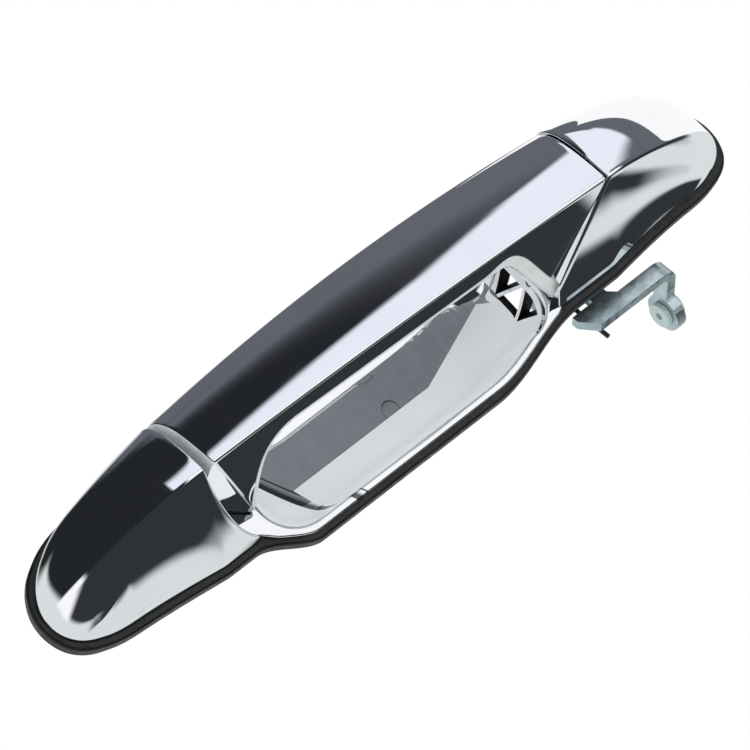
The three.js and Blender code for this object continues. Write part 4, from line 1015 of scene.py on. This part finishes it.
looks = {
    "chrome": grained("plated_chrome", (CHROME_TINT_SCALE, *CHROME_TINTS), CHROME_HAZE, metallic=1.0),
    "black_plastic": grained(
        "black_grained_plastic",
        (140, (0.010, 0.010, 0.011), (0.018, 0.018, 0.019)),
        (900, 2, 0.42, 0.6),
        (1500, 2, 0.25, 0.0002),
    ),
    "rubber": grained(
        "soft_black_rubber",
        (90, (0.006, 0.006, 0.007), (0.014, 0.014, 0.015)),
        (500, 3, 0.34, 0.5),
        (1100, 2, 0.2, 0.0002),
    ),
    "zinc": grained(
        "cast_zinc",
        (70, (0.42, 0.52, 0.57), (0.62, 0.72, 0.74)),
        (260, 4, 0.2, 0.42),
        (700, 3, 0.25, 0.0002),
        metallic=0.9,
    ),
    "steel": steel("plated_steel", (0.38, 0.4, 0.43), (0.58, 0.6, 0.62), 0.3),
    "dark_steel": steel("black_oxide_steel", (0.03, 0.032, 0.035), (0.08, 0.082, 0.088), 0.38),
    "acetal": grained("natural_acetal", (80, (0.55, 0.7, 0.66), (0.68, 0.8, 0.76)), (300, 2, 0.28, 0.42)),
}
backing_look = grained(
    "satin_grey_moulding",
    (160, (0.33, 0.34, 0.37), (0.36, 0.37, 0.41)),
    (700, 2, 0.45, 0.6),
    (1500, 2, 0.2, 0.0002),
)
# The unpolished end of the strap, in the hinge-side seam.
seam_look = grained("satin_seam_end", (200, (0.74, 0.75, 0.78), (0.86, 0.87, 0.9)), (300, 3, 0.3, 0.5))

for entry in frame["record"]["subparts"]:
    node = frame["nodes"].get(entry["node"])
    if node is None:
        continue
    backing = entry["node"].startswith(("strap_backing", "backing_screw"))
    node.data.materials.clear()
    node.data.materials.append(backing_look if backing else looks[entry["material_slot"]])
    node.data.shade_smooth()
    edges = node.modifiers.new("rounded_edges", "BEVEL")
    edges.width = BEVEL_WIDTH * MM
    edges.segments = 2
    edges.limit_method = "ANGLE"
    edges.angle_limit = math.radians(BEVEL_ANGLE)
    edges.harden_normals = True

special = {bucket.name: make_dish_chrome(), strap.name: make_strap_chrome()}
for piece in chrome_pieces:
    piece.data.materials.append(special.get(piece.name, looks["chrome"]))
# Black on the windows' turned-back walls, as painted shade seen through them.
bucket.data.materials.append(looks["black_plastic"])
strap.data.materials.append(seam_look)
for face in strap.data.polygons:
    if face.center.x < STRAP_END_X * MM and face.normal.x < STRAP_END_FACING:
        face.material_index = 1
gasket.data.materials.append(looks["rubber"])

# ---------------------------------------- floor, light and camera

FLOOR_Z = -0.62
FLOOR_REACH = 6.0


def make_floor():
    mesh = bpy.data.meshes.new("floor")
    corners = ((-1, -1), (1, -1), (1, 1), (-1, 1))
    verts = [(x * FLOOR_REACH, y * FLOOR_REACH, FLOOR_Z) for x, y in corners]
    mesh.from_pydata(verts, [], [(0, 1, 2, 3)])
    floor = link_object("floor", mesh)
    material, tree, shader = new_material("pale_floor")
    shade = tint(tree, noise(tree, 8), (0.83, 0.83, 0.83), (0.87, 0.87, 0.87))
    tree.links.new(shade, shader.inputs["Base Color"])
    shader.inputs["Roughness"].default_value = 0.9
    mesh.materials.append(material)
    floor.visible_glossy = False


make_floor()

CAMERA_PLACE = (-0.7671, -1.6020, -0.3821)
CAMERA_RIGHT = (0.72059, -0.18596, -0.66795)
CAMERA_DOWN = (-0.5503, 0.43267, -0.71412)
CAMERA_FORWARD = (0.4218, 0.88216, 0.20945)
CAMERA_LENS_MM = 271.07

lens = bpy.data.cameras.new("camera")
lens.sensor_width = 36
lens.lens = CAMERA_LENS_MM
lens.clip_start = 0.05
lens.clip_end = 50
camera = link_object("camera", lens)
turn = Matrix((CAMERA_RIGHT, [-v for v in CAMERA_DOWN], [-v for v in CAMERA_FORWARD])).transposed()
camera.matrix_world = Matrix.Translation(CAMERA_PLACE) @ turn.to_4x4()

scene = bpy.context.scene
scene.camera = camera
scene.view_settings.view_transform = "Standard"

# The studio that the chrome mirrors, as patches of light and dark by compass direction and height.
# Azimuth 0 is straight into the door, 90 is towards +X, 180 towards the hand; heights are above the horizon.
CHARCOAL = (0.016, 0.018, 0.022)
DARK = (0.030, 0.033, 0.038)
GREY = (0.125, 0.13, 0.155)
PALE = (0.72, 0.76, 0.76)
WHITE = (0.98, 0.99, 1.0)
BLUISH = (0.84, 0.88, 0.97)
FILL = (0.64, 0.67, 0.69)

world = bpy.data.worlds.new("studio")
world.use_nodes = True
scene.world = world
sky = world.node_tree


def sky_math(operation, a, b=0.0):
    return calculate(sky, operation, a, b)


def sky_step(value, start, soft):
    """0 below start, 1 above it, with an edge that is soft degrees wide each way."""
    node = sky.nodes.new("ShaderNodeMapRange")
    node.interpolation_type = "SMOOTHSTEP"
    node.inputs["From Min"].default_value = start - soft
    node.inputs["From Max"].default_value = start + soft
    sky.links.new(value, node.inputs["Value"])
    return node.outputs["Result"]


def sky_mix(factor, under, over):
    return mix_colours(sky, factor, under, over)


direction = sky.nodes.new("ShaderNodeTexCoord").outputs["Generated"]
parts = sky.nodes.new("ShaderNodeSeparateXYZ")
sky.links.new(direction, parts.inputs["Vector"])
to_degrees = 180 / math.pi
azimuth = sky_math("MULTIPLY", sky_math("ARCTAN2", parts.outputs["X"], parts.outputs["Y"]), to_degrees)
height = sky_math("MULTIPLY", sky_math("ARCSINE", parts.outputs["Z"]), to_degrees)
# Azimuth counted from the hand's side, so that a patch can lie across azimuth 180.
hand = sky_math("SUBTRACT", sky_math("FLOORED_MODULO", azimuth, 360.0), 180.0)


def patch(under, colour, side, low_high, heights, soft=(4, 4), lean=0.0, base=0.0):
    """Paints colour over a range of side angles and heights. Below base the heights rise by lean a degree."""
    tall = height
    if lean:
        rise = sky_math("MAXIMUM", sky_math("SUBTRACT", base, side), 0.0)
        tall = sky_math("SUBTRACT", height, sky_math("MULTIPLY", rise, lean))
    factor = sky_math("MULTIPLY", sky_step(side, low_high[0], soft[0]),
                      sky_math("SUBTRACT", 1.0, sky_step(side, low_high[1], soft[0])))
    factor = sky_math("MULTIPLY", factor, sky_step(tall, heights[0], soft[1]))
    factor = sky_math("MULTIPLY", factor, sky_math("SUBTRACT", 1.0, sky_step(tall, heights[1], soft[1])))
    return sky_mix(factor, under, colour)


colour = sky_mix(sky_step(height, 0.0, 3.0), DARK, CHARCOAL)
# Mid grey overhead on the release side.
colour = patch(colour, GREY, azimuth, (20, 138), (0, 78), (14, 10))
# The white wall on the hinge side, and its foot.
colour = patch(colour, PALE, azimuth, (-96, 24), (-66, 46), (4, 9))
colour = patch(colour, WHITE, azimuth, (-118, -92), (-17, 14), (3, 5))
# The pale floor strip, seen by the base of the caps.
colour = patch(colour, PALE, azimuth, (-60, 36), (-84, -53), (3, 5))
# The white wall on the release side.
colour = patch(colour, PALE, azimuth, (8, 79), (-57, 12), (4, 3))
colour = patch(colour, DARK, azimuth, (50, 60), (-58, -44), (3, 4))
# The white wall on the hand's side, low down, that the dish and the rim mirror under the strap.
colour = patch(colour, WHITE, hand, (-50, 0), (-40, 19), (3, 2))
# Black behind the strap's lower face.
colour = patch(colour, DARK, azimuth, (27.5, 43.5), (-50, -30), (1.2, 1.2))
# The strip light that the crest mirrors, wider towards the release end.
colour = patch(colour, BLUISH, hand, (-74, 8), (21, 34.4), (1.0, 1.0), 0.40, -34)
colour = patch(colour, BLUISH, azimuth, (104, 138), (24.5, 38), (1.5, 1.5))

paths = sky.nodes.new("ShaderNodeLightPath")
plain = sky_mix(paths.outputs["Is Camera Ray"], (0.92, 0.93, 0.94), (1.0, 1.0, 1.0))
colour = sky_mix(paths.outputs["Is Glossy Ray"], plain, colour)
sky.links.new(colour, sky.nodes["Background"].inputs["Color"])
sky.nodes["Background"].inputs["Strength"].default_value = 1.0


CARD_POINTS = 40


def light_card(name, low, high, tone):
    """A card that only mirrors show, between two lines of points in millimetres."""
    verts = [tuple(p * MM) for p in (*resample(low, CARD_POINTS), *resample(high, CARD_POINTS))]
    faces = [(i, i + 1, CARD_POINTS + i + 1, CARD_POINTS + i) for i in range(CARD_POINTS - 1)]
    mesh = bpy.data.meshes.new(name)
    mesh.from_pydata(verts, [], faces)
    card = link_object(name, mesh)
    material = bpy.data.materials.new(name)
    material.use_nodes = True
    tree = material.node_tree
    tree.nodes.clear()
    glow = tree.nodes.new("ShaderNodeEmission")
    glow.inputs["Color"].default_value = (*tone, 1)
    glow.inputs["Strength"].default_value = 1.0
    surface = tree.nodes.new("ShaderNodeOutputMaterial")
    tree.links.new(glow.outputs["Emission"], surface.inputs["Surface"])
    mesh.materials.append(material)
    card.visible_camera = False
    card.visible_diffuse = False
    card.visible_shadow = False


# An upright curved card round the release end, and a flat one in the lit space behind the strap.
SIDE_CARD_MIDDLE = (112, -30)
SIDE_CARD_REACH = 150
SIDE_CARD_ANGLES = (22, 93)
SIDE_CARD_HEIGHTS = (14, 188)
FILL_CARD_X = (-58, 52)
FILL_CARD_FRONT = (-27, 16)
FILL_CARD_BACK = (8, 12)

side_line = []
for angle in np.linspace(*SIDE_CARD_ANGLES, 24):
    a = math.radians(angle)
    x, y = SIDE_CARD_MIDDLE
    side_line.append((x + SIDE_CARD_REACH * math.sin(a), y + SIDE_CARD_REACH * math.cos(a)))
side_low, side_high = ([(x, y, z) for x, y in side_line] for z in SIDE_CARD_HEIGHTS)
light_card("release_side_card", side_low, side_high, WHITE)
fill_front, fill_back = ([(x, *line) for x in FILL_CARD_X] for line in (FILL_CARD_FRONT, FILL_CARD_BACK))
light_card("upper_fill_card", fill_front, fill_back, FILL)
